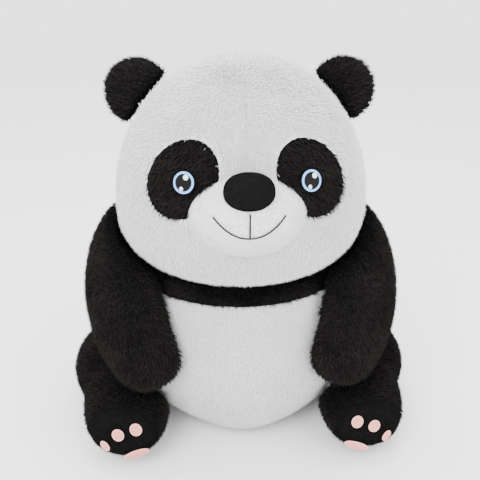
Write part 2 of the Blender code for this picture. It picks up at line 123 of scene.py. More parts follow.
class Graph:
    """Short calls for building a node tree."""

    def __init__(self, tree: bpy.types.NodeTree) -> None:
        """Starts on an existing tree.

        Args:
            tree: The tree that gets the nodes.
        """
        self.tree = tree

    def add(
        self,
        kind: str,
        inputs: Optional[dict] = None,
        out: int | str = 0,
        **settings: object,
    ) -> bpy.types.NodeSocket:
        """Adds a node.

        Args:
            kind: Blender's name of the node type.
            inputs: Input to value, or to the socket that feeds it.
            out: The output wanted.
            **settings: The node's own settings.

        Returns:
            The wanted output socket.
        """
        node = self.tree.nodes.new(kind)
        for key, value in settings.items():
            setattr(node, key, value)
        for key, value in (inputs or {}).items():
            socket = node.inputs[key]
            if isinstance(value, bpy.types.NodeSocket):
                self.tree.links.new(value, socket)
            else:
                socket.default_value = value
        return node.outputs[out]

    def math(self, operation: str, *values: object) -> bpy.types.NodeSocket:
        """A Math node on up to three values."""
        kind = "ShaderNodeMath"
        return self.add(kind, dict(enumerate(values)), operation=operation)

    def vector_math(self, operation: str, *values: object) -> bpy.types.NodeSocket:
        """A Vector Math node on up to three vectors."""
        kind = "ShaderNodeVectorMath"
        return self.add(kind, dict(enumerate(values)), operation=operation)

    def scaled(self, vector: object, by: object) -> bpy.types.NodeSocket:
        """A vector times a number."""
        node_inputs = {0: vector, 3: by}
        return self.add("ShaderNodeVectorMath", node_inputs, operation="SCALE")

    def mix_colour(
        self, share: object, first: object, second: object
    ) -> bpy.types.NodeSocket:
        """Two colours mixed by a share."""
        node_inputs = {0: share, 6: first, 7: second}
        return self.add("ShaderNodeMix", node_inputs, 2, data_type="RGBA")

    def remap(
        self, value: object, low: float, high: float, to_low: float, to_high: float
    ) -> bpy.types.NodeSocket:
        """A value taken from one range to another, held inside it."""
        node_inputs = {0: value, 1: low, 2: high, 3: to_low, 4: to_high}
        return self.add("ShaderNodeMapRange", node_inputs, clamp=True)


def new_group(
    name: str, kind: str, sockets: Sequence[tuple[str, str, str, object]]
) -> tuple[Graph, bpy.types.Node, bpy.types.Node]:
    """A node group with named sockets.

    Args:
        name: The group's name.
        kind: Blender's name of the tree type.
        sockets: Name, "INPUT" or "OUTPUT", socket type and default of each.

    Returns:
        The graph, the group's input node and its output node.
    """
    tree = bpy.data.node_groups.new(name, kind)
    for label, way, socket_type, default in sockets:
        made = tree.interface.new_socket(name=label, in_out=way, socket_type=socket_type)
        if default is not None:
            made.default_value = default
    enter = tree.nodes.new("NodeGroupInput")
    leave = tree.nodes.new("NodeGroupOutput")
    return Graph(tree), enter, leave


FLOAT, COLOUR, VECTOR = "NodeSocketFloat", "NodeSocketColor", "NodeSocketVector"


class Groups:
    """The shader groups that several finishes share, each built once."""

    @staticmethod
    @cache
    def pile_colour() -> bpy.types.NodeTree:
        """Colour of a tuft: darker at its root as painted shade deep in the pile, a little
        different from its neighbours, and blotched by the mottle, which is painted shade on white
        pile and painted sheen on black pile.
        """
        g, enter, leave = new_group(
            "pile_colour",
            "ShaderNodeTree",
            [
                ("Root", "INPUT", COLOUR, (0.5, 0.5, 0.5, 1)),
                ("Tip", "INPUT", COLOUR, (0.9, 0.9, 0.9, 1)),
                ("Tone Spread", "INPUT", FLOAT, 0.1),
                ("Mottle", "INPUT", FLOAT, 0.1),
                ("Colour", "OUTPUT", COLOUR, None),
            ],
        )
        tip = g.add("ShaderNodeAttribute", out="Fac", attribute_name="tip")
        tone = g.add("ShaderNodeAttribute", out="Fac", attribute_name="tone")
        # The root's darker colour is painted shade deep in the pile.
        rise = g.math("POWER", tip, 0.7)
        colour = g.mix_colour(rise, enter.outputs["Root"], enter.outputs["Tip"])
        place = g.add("ShaderNodeTexCoord", out="Object")
        # The mottle's soft blotches: painted shade on white pile, painted sheen on black pile.
        painted_blotch = g.add("ShaderNodeTexNoise", {"Vector": place, "Scale": 26.0, "Detail": 3.0})
        tuft = g.math("MULTIPLY", g.math("SUBTRACT", tone, 0.5), enter.outputs["Tone Spread"])
        patch = g.math("MULTIPLY", g.math("SUBTRACT", painted_blotch, 0.5), enter.outputs["Mottle"])
        shade = g.math("ADD", g.math("ADD", tuft, patch), 1.0)
        out = g.scaled(colour, shade)
        g.tree.links.new(out, leave.inputs["Colour"])
        return g.tree

    @staticmethod
    @cache
    def pile_normal() -> bpy.types.NodeTree:
        """Normal of a tuft, turned towards the normal of the fabric that it grows from."""
        g, enter, leave = new_group(
            "pile_normal",
            "ShaderNodeTree",
            [
                ("Softness", "INPUT", FLOAT, 0.6),
                ("Normal", "OUTPUT", VECTOR, None),
            ],
        )
        stored = g.add("ShaderNodeAttribute", out="Vector", attribute_name="skin_normal")
        there = g.add(
            "ShaderNodeVectorTransform",
            {0: stored},
            vector_type="NORMAL",
            convert_from="OBJECT",
            convert_to="WORLD",
        )
        own = g.add("ShaderNodeNewGeometry", out="Normal")
        soft = g.scaled(there, enter.outputs["Softness"])
        hard = g.scaled(own, g.math("SUBTRACT", 1.0, enter.outputs["Softness"]))
        normal = g.vector_math("NORMALIZE", g.vector_math("ADD", soft, hard))
        g.tree.links.new(normal, leave.inputs["Normal"])
        return g.tree

    @staticmethod
    @cache
    def weave() -> bpy.types.NodeTree:
        """A plain knit or weave as a height and a mask, read from the object's own space. The mask
        is low where the weave is low, for painted shade in its hollows.
        """
        g, enter, leave = new_group(
            "weave",
            "ShaderNodeTree",
            [
                ("Threads per Metre", "INPUT", FLOAT, 1200.0),
                ("Unevenness", "INPUT", FLOAT, 0.3),
                ("Height", "OUTPUT", FLOAT, None),
                ("Mask", "OUTPUT", FLOAT, None),
            ],
        )
        place = g.add("ShaderNodeTexCoord", out="Object")
        wander = g.add("ShaderNodeTexNoise", {"Vector": place, "Scale": 90.0, "Detail": 2.0}, 1)
        shift = g.scaled(wander, 0.004)
        at = g.vector_math("ADD", place, shift)
        at = g.scaled(at, enter.outputs["Threads per Metre"])
        split = g.tree.nodes.new("ShaderNodeSeparateXYZ")
        g.tree.links.new(at, split.inputs[0])
        warp = g.math("SINE", g.math("ADD", split.outputs[0], split.outputs[1]))
        weft = g.math("SINE", g.math("SUBTRACT", split.outputs[2], split.outputs[1]))
        cloth = g.math("MULTIPLY", warp, weft)
        lump = g.add("ShaderNodeTexNoise", {"Vector": place, "Scale": 900.0, "Detail": 2.0})
        rough = g.math("MULTIPLY", lump, enter.outputs["Unevenness"])
        height = g.math("ADD", g.math("MULTIPLY", cloth, 0.5), rough)
        g.tree.links.new(height, leave.inputs["Height"])
        # The mask follows the height: finishes darken the weave's hollows with it, as painted
        # shade.
        g.tree.links.new(g.remap(height, -0.5, 0.8, 0.0, 1.0), leave.inputs["Mask"])
        return g.tree


# ---------------------------------------------------------------- finishes


@dataclass(frozen=True)
class Finish:
    """What all finishes share: a name, the record's slot and a few even values."""

    name: str
    slot: str
    roughness: float = 0.9
    specular: float = 0.25
    sheen: float = 0.2
    sheen_roughness: float = 0.4
    sheen_tint: Colour = (1.0, 1.0, 1.0)

    def start(self) -> tuple[bpy.types.Material, Graph, bpy.types.Node]:
        """A material with this finish's even values on its shader.

        Returns:
            The material, its graph and its shader node.
        """
        made = bpy.data.materials.new(self.name)
        made.use_nodes = True
        shader = made.node_tree.nodes["Principled BSDF"]
        shader.inputs["Roughness"].default_value = self.roughness
        shader.inputs["Specular IOR Level"].default_value = self.specular
        shader.inputs["Sheen Weight"].default_value = self.sheen
        shader.inputs["Sheen Roughness"].default_value = self.sheen_roughness
        shader.inputs["Sheen Tint"].default_value = (*self.sheen_tint, 1.0)
        return made, Graph(made.node_tree), shader

    def material(self) -> bpy.types.Material:
        """The material of this finish, made on its first use."""
        found = bpy.data.materials.get(self.name)
        return found or self.make()

    def make(self) -> bpy.types.Material:
        """Builds the material. Each kind of finish has its own."""
        raise NotImplementedError


@dataclass(frozen=True)
class PlushFinish(Finish):
    """Pile: tufts darker at the root as painted shade deep in the pile, with a soft random play of
    tone and the mottle's blotches of painted shade and sheen.
    """

    roughness: float = 1.0
    specular: float = 0.0
    sheen: float = 0.0
    root: Colour = (0.5, 0.5, 0.5)
    tip: Colour = (0.9, 0.9, 0.9)
    tone_spread: float = 0.12
    mottle: float = 0.12
    softness: float = 0.6

    def make(self) -> bpy.types.Material:
        """Builds the material.

        Returns:
            The new material.
        """
        made, g, shader = self.start()
        colour = g.tree.nodes.new("ShaderNodeGroup")
        colour.node_tree = Groups.pile_colour()
        colour.inputs["Root"].default_value = (*self.root, 1)
        colour.inputs["Tip"].default_value = (*self.tip, 1)
        colour.inputs["Tone Spread"].default_value = self.tone_spread
        colour.inputs["Mottle"].default_value = self.mottle
        normal = g.tree.nodes.new("ShaderNodeGroup")
        normal.node_tree = Groups.pile_normal()
        normal.inputs["Softness"].default_value = self.softness
        g.tree.links.new(colour.outputs[0], shader.inputs["Base Color"])
        g.tree.links.new(normal.outputs[0], shader.inputs["Normal"])
        return made


@dataclass(frozen=True)
class ClothFinish(Finish):
    """Woven or knitted cloth: backing, velour face, stitching or pouch cloth. Its dark tone is
    painted shade in the weave's hollows, spread further by soft random clouds.
    """

    light: Colour = (0.8, 0.8, 0.8)
    dark: Colour = (0.6, 0.6, 0.6)
    threads: float = 2200.0
    unevenness: float = 0.3
    height: float = 0.0002

    def make(self) -> bpy.types.Material:
        """Builds the material.

        Returns:
            The new material.
        """
        made, g, shader = self.start()
        weave = g.tree.nodes.new("ShaderNodeGroup")
        weave.node_tree = Groups.weave()
        weave.inputs["Threads per Metre"].default_value = self.threads
        weave.inputs["Unevenness"].default_value = self.unevenness
        place = g.add("ShaderNodeTexCoord", out="Object")
        cloud = g.add("ShaderNodeTexNoise", {"Vector": place, "Scale": 30.0, "Detail": 4.0})
        # Dark in the weave's hollows as painted shade, and in soft random clouds.
        mask = g.math("MULTIPLY", weave.outputs["Mask"], g.remap(cloud, 0.3, 0.7, 0.75, 1.0))
        colour = g.mix_colour(mask, (*self.dark, 1), (*self.light, 1))
        bump_inputs = {
            "Height": weave.outputs["Height"],
            "Distance": self.height,
            "Strength": 0.6,
        }
        bump = g.add("ShaderNodeBump", bump_inputs)
        g.tree.links.new(colour, shader.inputs["Base Color"])
        g.tree.links.new(bump, shader.inputs["Normal"])
        return made


@dataclass(frozen=True)
class FibreFinish(Finish):
    """Loose polyester fibre: crossing strands with soft hollows, darker in the hollows as painted
    shade.
    """

    light: Colour = (0.92, 0.92, 0.90)
    dark: Colour = (0.62, 0.62, 0.60)

    def make(self) -> bpy.types.Material:
        """Builds the material.

        Returns:
            The new material.
        """
        made, g, shader = self.start()
        place = g.add("ShaderNodeTexCoord", out="Object")
        inputs = {"Vector": place, "Scale": 60.0, "Detail": 8.0, "Distortion": 3.0}
        strands = g.add("ShaderNodeTexNoise", inputs)
        # The bump's own noise sets the colour: the hollows are darker as painted shade.
        mask = g.remap(strands, 0.35, 0.65, 0, 1)
        colour = g.mix_colour(mask, (*self.dark, 1), (*self.light, 1))
        bump = g.add("ShaderNodeBump", {"Height": strands, "Distance": 0.003, "Strength": 0.8})
        g.tree.links.new(colour, shader.inputs["Base Color"])
        g.tree.links.new(bump, shader.inputs["Normal"])
        return made


@dataclass(frozen=True)
class StudioFinish(Finish):
    """The plain floor."""

    colour: Colour = (0.95, 0.95, 0.95)

    def make(self) -> bpy.types.Material:
        """Builds the material.

        Returns:
            The new material.
        """
        made, g, shader = self.start()
        place = g.add("ShaderNodeTexCoord", out="Object")
        grain = g.add("ShaderNodeTexNoise", {"Vector": place, "Scale": 8.0})
        low = tuple(0.985 * c for c in self.colour)
        colour = g.mix_colour(grain, (*low, 1), (*self.colour, 1))
        g.tree.links.new(colour, shader.inputs["Base Color"])
        return made


# Root: painted shade deep in the pile. Mottle: soft grey blotches of painted shade, standing for
# the shade of clumps.
WHITE_PILE = PlushFinish(
    "white_pile",
    "white_plush",
    root=(0.66, 0.66, 0.655),
    tip=(0.95, 0.95, 0.945),
    tone_spread=0.08,
    mottle=0.10,
    softness=0.68,
)
# Root: painted shade deep in the pile. The warm tip and the strong mottle paint a brownish-grey
# sheen on the black pile.
BLACK_PILE = PlushFinish(
    "black_pile",
    "black_plush",
    root=(0.0025, 0.0025, 0.0025),
    tip=(0.020, 0.0185, 0.0175),
    tone_spread=0.8,
    mottle=1.1,
    softness=0.55,
)
# Root: painted shade deep in the short pile; the lilac tint is the velour's own colour.
WHITE_VELOUR = PlushFinish(
    "white_velour_pile",
    "white_velour",
    root=(0.76, 0.75, 0.79),
    tip=(0.93, 0.92, 0.96),
    tone_spread=0.05,
    mottle=0.05,
    softness=0.85,
)
# Root: painted shade deep in the short pile.
BLACK_VELOUR = PlushFinish(
    "black_velour_pile",
    "black_velour",
    root=(0.003, 0.003, 0.003),
    tip=(0.0105, 0.0100, 0.0100),
    tone_spread=0.5,
    mottle=0.3,
    softness=0.7,
)
WHITE_BACKING = ClothFinish(
    "white_backing",
    "white_plush",
    specular=0.05,
    sheen=0.0,
    light=(0.80, 0.80, 0.79),
    dark=(0.68, 0.68, 0.67),
)
BLACK_BACKING = ClothFinish(
    "black_backing",
    "black_plush",
    specular=0.02,
    sheen=0.0,
    light=(0.007, 0.007, 0.007),
    dark=(0.003, 0.003, 0.003),
)
WHITE_KNIT = ClothFinish(
    "white_velour_knit",
    "white_velour",
    specular=0.05,
    sheen=0.0,
    light=(0.90, 0.89, 0.93),
    dark=(0.80, 0.79, 0.83),
)
BLACK_KNIT = ClothFinish(
    "black_velour_knit",
    "black_velour",
    specular=0.05,
    sheen=0.02,
    light=(0.0080, 0.0078, 0.0078),
    dark=(0.004, 0.004, 0.004),
)
FIBRE = FibreFinish("polyester_fibre_fill", "polyester_fibre")
POUCH_CLOTH = ClothFinish(
    "pouch_cloth_weave",
    "pouch_cloth",
    light=(0.74, 0.74, 0.70),
    dark=(0.50, 0.50, 0.47),
)


def thread_finish(name: str, slot: str, light: Colour, dark: Colour) -> ClothFinish:
    """Embroidery thread of two close tones, the darker one painted shade in the hollows of its
    weave pattern.
    """
    return ClothFinish(
        name,
        slot,
        roughness=0.55,
        specular=0.10,
        sheen=0.0,
        light=light,
        dark=dark,
        threads=5200.0,
        unevenness=0.6,
        height=0.00012,
    )


PINK_THREAD = thread_finish(
    "pink_thread", "pink_embroidery", (0.83, 0.38, 0.34), (0.66, 0.25, 0.22)
)
PALE_PINK_THREAD = thread_finish(
    "pale_pink_thread", "pink_embroidery", (0.90, 0.50, 0.45), (0.75, 0.34, 0.30)
)
BLUE_THREAD = thread_finish(
    "blue_thread", "blue_embroidery", (0.30, 0.55, 0.88), (0.14, 0.34, 0.72)
)
BLACK_THREAD = thread_finish(
    "black_thread", "black_embroidery", (0.010, 0.010, 0.011), (0.004, 0.004, 0.005)
)
WHITE_THREAD = thread_finish(
    "white_thread", "white_embroidery", (0.92, 0.93, 0.95), (0.75, 0.77, 0.82)
)
FLOOR_FINISH = StudioFinish("studio_floor", "none", roughness=0.8, specular=0.2, sheen=0.0)


# ---------------------------------------------------------------- geometry trees


def set_inputs(modifier: bpy.types.NodesModifier, values: dict[str, object]) -> None:
    """Sets a Geometry Nodes modifier's inputs.

    Args:
        modifier: The modifier, on an object that has not been evaluated with it.
        values: Input name to value.
    """
    for item in modifier.node_group.interface.items_tree:
        if item.item_type == "SOCKET" and item.in_out == "INPUT" and item.name in values:
            modifier[item.identifier] = values[item.name]


class PileTree:
    """Geometry Nodes that plant tufts on a fabric."""

    @staticmethod
    @cache
    def get() -> bpy.types.NodeTree:
        """The tree, built on its first use.

        Returns:
            The node tree.
        """
        g, enter, leave = new_group(
            "plant_pile",
            "GeometryNodeTree",
            [
                ("Fabric", "INPUT", "NodeSocketGeometry", None),
                ("Tuft", "INPUT", "NodeSocketObject", None),
                ("Spacing", "INPUT", FLOAT, 0.0012),
                ("Most per Square Metre", "INPUT", FLOAT, 1e6),
                ("Length", "INPUT", FLOAT, 0.006),
                ("Thickness", "INPUT", FLOAT, 0.0007),
                ("Lean", "INPUT", FLOAT, 0.5),
                ("Wander", "INPUT", FLOAT, 0.25),
                ("Seed", "INPUT", "NodeSocketInt", 1),
                ("Finish", "INPUT", "NodeSocketMaterial", None),
                ("Pile", "OUTPUT", "NodeSocketGeometry", None),
            ],
        )
        seed = enter.outputs["Seed"]

        def named(name: str, kind: str) -> bpy.types.NodeSocket:
            """A value stored on the fabric."""
            return g.add("GeometryNodeInputNamedAttribute", {"Name": name}, data_type=kind)

        def chance(low: float, high: float, turn: int) -> bpy.types.NodeSocket:
            """A random number for each tuft."""
            own_seed = g.math("ADD", seed, float(turn))
            inputs = {2: low, 3: high, "Seed": own_seed}
            return g.add("FunctionNodeRandomValue", inputs, 1, data_type="FLOAT")

        points = g.add(
            "GeometryNodeDistributePointsOnFaces",
            {
                "Mesh": enter.outputs["Fabric"],
                "Distance Min": enter.outputs["Spacing"],
                "Density Max": enter.outputs["Most per Square Metre"],
                "Density Factor": named("cover", "FLOAT"),
                "Seed": seed,
            },
            distribute_method="POISSON",
        )
        tone = chance(0.0, 1.0, 11)
        points = g.add(
            "GeometryNodeStoreNamedAttribute",
            {"Geometry": points, "Name": "tone", "Value": tone},
            data_type="FLOAT",
            domain="POINT",
        )
        points = g.add(
            "GeometryNodeStoreNamedAttribute",
            {"Geometry": points, "Name": "root", "Value": g.add("GeometryNodeInputPosition")},
            data_type="FLOAT_VECTOR",
            domain="POINT",
        )
        lean = g.math("MULTIPLY", enter.outputs["Lean"], chance(0.75, 1.25, 12))
        along = g.scaled(named("comb", "FLOAT_VECTOR"), lean)
        upright = g.scaled(named("skin_normal", "FLOAT_VECTOR"), g.math("SUBTRACT", 1.0, lean))
        stray = g.add(
            "FunctionNodeRandomValue",
            {0: (-1.0, -1.0, -1.0), 1: (1.0, 1.0, 1.0), "Seed": g.math("ADD", seed, 13.0)},
            0,
            data_type="FLOAT_VECTOR",
        )
        stray = g.scaled(stray, enter.outputs["Wander"])
        way = g.vector_math("ADD", g.vector_math("ADD", along, upright), stray)
        roll = g.add(
            "FunctionNodeAxisAngleToRotation",
            {"Axis": (0.0, 0.0, 1.0), "Angle": chance(0.0, 2 * math.pi, 14)},
        )
        inputs = {"Rotation": roll, "Vector": way}
        turn = g.add("FunctionNodeAlignRotationToVector", inputs, axis="Z")
        height = g.math("MULTIPLY", enter.outputs["Length"], named("nap", "FLOAT"))
        height = g.math("MULTIPLY", height, chance(0.75, 1.2, 15))
        size = g.add(
            "ShaderNodeCombineXYZ",
            {0: enter.outputs["Thickness"], 1: enter.outputs["Thickness"], 2: height},
        )
        tuft = g.add("GeometryNodeObjectInfo", {"Object": enter.outputs["Tuft"]}, "Geometry")
        tufts = g.add(
            "GeometryNodeInstanceOnPoints",
            {"Points": points, "Instance": tuft, "Rotation": turn, "Scale": size},
        )
        solid = g.add("GeometryNodeRealizeInstances", {"Geometry": tufts})
        done = g.add(
            "GeometryNodeSetMaterial", {"Geometry": solid, "Material": enter.outputs["Finish"]}
        )
        g.tree.links.new(done, leave.inputs["Pile"])
        return g.tree


class ThreadTree:
    """Geometry Nodes that turn each open run of edges into a stitch of thread."""

    @staticmethod
    @cache
    def get() -> bpy.types.NodeTree:
        """The tree, built on its first use.

        Returns:
            The node tree.
        """
        g, enter, leave = new_group(
            "lay_thread",
            "GeometryNodeTree",
            [
                ("Runs", "INPUT", "NodeSocketGeometry", None),
                ("Radius", "INPUT", FLOAT, 0.0003),
                ("Sides", "INPUT", "NodeSocketInt", 6),
                ("Finish", "INPUT", "NodeSocketMaterial", None),
                ("Thread", "OUTPUT", "NodeSocketGeometry", None),
            ],
        )
        runs = g.add("GeometryNodeMeshToCurve", {"Mesh": enter.outputs["Runs"]})
        round_inputs = {"Resolution": enter.outputs["Sides"], "Radius": enter.outputs["Radius"]}
        section = g.add("GeometryNodeCurvePrimitiveCircle", round_inputs)
        girth = g.add("GeometryNodeInputNamedAttribute", {"Name": "girth"}, data_type="FLOAT")
        inputs = {"Curve": runs, "Profile Curve": section, "Scale": girth, "Fill Caps": True}
        solid = g.add("GeometryNodeCurveToMesh", inputs)
        solid = g.add("GeometryNodeRealizeInstances", {"Geometry": solid})
        inputs = {"Geometry": solid, "Material": enter.outputs["Finish"]}
        done = g.add("GeometryNodeSetMaterial", inputs)
        g.tree.links.new(done, leave.inputs["Thread"])
        return g.tree


# ---------------------------------------------------------------- meshes


def new_object(name: str, mesh: bpy.types.Mesh) -> bpy.types.Object:
    """An object of this mesh, linked to the scene."""
    made = bpy.data.objects.new(name, mesh)
    bpy.context.scene.collection.objects.link(made)
    return made


def settled(obj: bpy.types.Object, name: str) -> bpy.types.Mesh:
    """The mesh that an object's modifiers make, as a plain mesh. The object itself goes.

    Args:
        obj: The object with its modifiers.
        name: The new mesh's name.

    Returns:
        The plain mesh.
    """
    graph = bpy.context.evaluated_depsgraph_get()
    made = bpy.data.meshes.new_from_object(
        obj.evaluated_get(graph), preserve_all_data_layers=True, depsgraph=graph
    )
    made.name = name
    bpy.data.objects.remove(obj)
    return made


def points_of(mesh: bpy.types.Mesh) -> np.ndarray:
    """The mesh's points as rows of three numbers."""
    flat = np.zeros(len(mesh.vertices) * 3, np.float32)
    mesh.vertices.foreach_get("co", flat)
    return flat.reshape(-1, 3).astype(float)


def normals_of(mesh: bpy.types.Mesh) -> np.ndarray:
    """The mesh's point normals as rows of three numbers."""
    flat = np.zeros(len(mesh.vertices) * 3, np.float32)
    mesh.vertex_normals.foreach_get("vector", flat)
    return flat.reshape(-1, 3).astype(float)


def move_points(mesh: bpy.types.Mesh, points: np.ndarray) -> None:
    """Puts the mesh's points where the rows say."""
    mesh.vertices.foreach_set("co", points.astype(np.float32).ravel())
    mesh.update()


def store(mesh: bpy.types.Mesh, name: str, values: np.ndarray) -> None:
    """Keeps a number or a vector for each point of a mesh.

    Args:
        mesh: The mesh.
        name: The attribute's name.
        values: One number, or one row of three, for each point.
    """
    kind, key = ("FLOAT_VECTOR", "vector") if values.ndim == 2 else ("FLOAT", "value")
    made = mesh.attributes.get(name) or mesh.attributes.new(name, kind, "POINT")
    made.data.foreach_set(key, values.astype(np.float32).ravel())


def tree_of(mesh: bpy.types.Mesh) -> BVHTree:
    """A search tree of the mesh's faces."""
    bm = bmesh.new()
    bm.from_mesh(mesh)
    made = BVHTree.FromBMesh(bm)
    bm.free()
    return made


def mesh_of(bm: bmesh.types.BMesh, name: str) -> bpy.types.Mesh:
    """A new mesh of what was built, which ends the building."""
    made = bpy.data.meshes.new(name)
    bm.to_mesh(made)
    bm.free()
    return made


def through(points: np.ndarray, matrix: Matrix) -> np.ndarray:
    """The points taken through a matrix."""
    rows = np.array(matrix)
    return points @ rows[:3, :3].T + rows[:3, 3]


Number = float | np.ndarray


def turned(x: Number, y: Number, degrees: float) -> tuple[Number, Number]:
    """x and y in axes that are turned by an angle."""
    c, s = math.cos(math.radians(degrees)), math.sin(math.radians(degrees))
    return x * c + y * s, -x * s + y * c


def depths(points: np.ndarray, tree: BVHTree) -> np.ndarray:
    """How far each point lies outside a closed form, negative inside it."""
    found = np.zeros(len(points))
    for i, place in enumerate(points):
        spot = Vector(place)
        hit, normal, _, _ = tree.find_nearest(spot)
        away = spot - hit
        found[i] = math.copysign(away.length, away.dot(normal))
    return found


def pressed(points: np.ndarray, tree: BVHTree, gap: float) -> np.ndarray:
    """Points pushed out of a form, as cloth is where two stuffed bodies meet.

    Args:
        points: The points at rest.
        tree: The form that they must clear.
        gap: The clearance.

    Returns:
        The points after the push.
    """
    made = points.copy()
    for i, place in enumerate(made):
        spot = Vector(place)
        hit, normal, _, _ = tree.find_nearest(spot)
        if (spot - hit).dot(normal) < gap:
            made[i] = hit + gap * normal
    return made


def smooth_step(values: np.ndarray, low: float, high: float) -> np.ndarray:
    """0 below low, 1 above high and a smooth rise between them."""
    share = np.clip((values - low) / (high - low), 0.0, 1.0)
    return share * share * (3.0 - 2.0 * share)


def lumps(points: np.ndarray, per_metre: float, offset: float = 0.0) -> np.ndarray:
    """Smooth noise from about -1 to 1 at each point."""
    shift = Vector((offset, 2.0 * offset, -offset))
    return np.array([noise.noise(Vector(p) * per_metre + shift) for p in points])


# ---------------------------------------------------------------- forms


@dataclass
class Form:
    """A stuffed form, as a function from the unit sphere to the toy's space."""

    segments: int = 64
    rings: int = 40

    def point(self, u: Vector) -> Vector:
        """The form's point for a point of the unit sphere."""
        raise NotImplementedError

    def mesh(self, name: str, inset: float = 0.0) -> bpy.types.Mesh:
        """The form as a closed mesh, its faces outwards.

        Args:
            name: The mesh's name.
            inset: How far inside the form it lies.

        Returns:
            The mesh.
        """
        bm = bmesh.new()
        bmesh.ops.create_uvsphere(bm, u_segments=self.segments, v_segments=self.rings, radius=1.0)
        for vertex in bm.verts:
            vertex.co = self.point(vertex.co.copy())
        bmesh.ops.recalc_face_normals(bm, faces=bm.faces)
        if bm.calc_volume(signed=True) < 0:
            bmesh.ops.reverse_faces(bm, faces=bm.faces)
        bm.normal_update()
        moves = [vertex.normal * -inset for vertex in bm.verts]
        for vertex, move in zip(bm.verts, moves):
            vertex.co += move
        return mesh_of(bm, name)

    def tree(self) -> BVHTree:
        """A search tree of the form's outside."""
        mesh = self.mesh("search")
        made = tree_of(mesh)
        bpy.data.meshes.remove(mesh)
        return made


def fuller_below(across: float, down: float, power: float) -> tuple[float, float]:
    """Shares of a unit circle made fuller, for the low half of a body that sits."""
    return across ** (2.0 / power), down ** (2.0 / power)


@dataclass
class TorsoForm(Form):
    """The torso, flat where it sits."""

    y: float = 0.064
    half_width: float = 0.178
    half_depth: float = 0.197
    widest_z: float = 0.115
    top_z: float = 0.320
    below: float = 0.146
    low_power: float = 2.2
    belly_forward: float = 0.027
    taper: float = 0.38
    taper_z: float = 0.095

    def point(self, u: Vector) -> Vector:
        """The form's point for a point of the unit sphere."""
        across, turn = math.hypot(u.x, u.y), math.atan2(u.y, u.x)
        if u.z >= 0:
            height = u.z * (self.top_z - self.widest_z)
        else:
            across, down = fuller_below(across, -u.z, self.low_power)
            height = -down * self.below
        z = max(self.widest_z + height, 0.0)
        sag = self.belly_forward * min(1.0, max(0.0, 1.0 - z / YOKE_Z))
        front = max(0.0, -math.sin(turn))
        taper = self.taper * front**2 * max(0.0, 1.0 - z / self.taper_z)
        x = self.half_width * (1.0 - taper) * across * math.cos(turn)
        return Vector((x, self.y - sag + self.half_depth * across * math.sin(turn), z))


@dataclass
class HeadForm(Form):
    """The head, wider and flatter below its middle."""

    centre: Vector = field(default_factory=lambda: Vector((0.0, -0.024, 0.310)))
    half_width: float = 0.157
    half_depth: float = 0.141
    above: float = 0.177
    below: float = 0.099
    low_power: float = 2.6
    segments: int = 80
    rings: int = 52

    def point(self, u: Vector) -> Vector:
        """The form's point for a point of the unit sphere."""
        across, turn = math.hypot(u.x, u.y), math.atan2(u.y, u.x)
        if u.z >= 0:
            height = u.z * self.above
        else:
            across, down = fuller_below(across, -u.z, self.low_power)
            height = -down * self.below
        x = self.half_width * across * math.cos(turn)
        return self.centre + Vector((x, self.half_depth * across * math.sin(turn), height))


@dataclass
class CapForm(Form):
    """The muzzle or the nose: a round form, narrower above or below."""

    centre: Vector = field(default_factory=Vector)
    radii: Vector = field(default_factory=Vector)
    narrow_above: float = 0.0
    narrow_below: float = 0.0
    power: float = 2.0
    segments: int = 56
    rings: int = 36

    def point(self, u: Vector) -> Vector:
        """The form's point for a point of the unit sphere."""
        less = self.narrow_above if u.z > 0 else self.narrow_below
        width = 1.0 - less * u.z * u.z
        share = 2.0 / self.power
        x = math.copysign(abs(u.x) ** share, u.x) * width
        z = math.copysign(abs(u.z) ** share, u.z)
        return self.centre + Vector((x * self.radii.x, u.y * self.radii.y, z * self.radii.z))


@dataclass
class LimbForm(Form):
    """A bent tube with round ends along rows of x, y, z and two radii."""

    line: tuple[tuple[float, ...], ...] = ()
    power: float = 2.5
    side: Side = Side.LEFT
    segments: int = 40
    rings: int = 44
    step: float = 0.02

    def on_line(self, share: float) -> list[float]:
        """The smooth line's five numbers at a share of its way."""
        last = len(self.line) - 1
        place = min(max(share, 0.0), 1.0) * last
        i = min(int(place), last - 1)
        t = place - i
        rows = [self.line[min(max(k, 0), last)] for k in (i - 1, i, i + 1, i + 2)]
        return [
            0.5
            * (
                2 * b
                + (c - a) * t
                + (2 * a - 5 * b + 4 * c - d) * t**2
                + (3 * b - a - 3 * c + d) * t**3
            )
            for a, b, c, d in zip(*rows)
        ]

    def point(self, u: Vector) -> Vector:
        """The form's point for a point of the unit sphere."""
        share = (1.0 - u.z) / 2.0
        x, y, z, wide, high = self.on_line(share)
        ahead = Vector(self.on_line(share + self.step)[:3])
        behind = Vector(self.on_line(share - self.step)[:3])
        along = (ahead - behind).normalized()
        outward = Vector((1.0, 0.0, 0.0))
        first = (outward - outward.dot(along) * along).normalized()
        second = along.cross(first)
        width = max(0.0, 1.0 - abs(u.z) ** self.power) ** (1.0 / self.power)
        turn = math.atan2(u.y, u.x)
        ring = wide * math.cos(turn) * first + high * math.sin(turn) * second
        return self.side.of(Vector((x, y, z)) + width * ring)


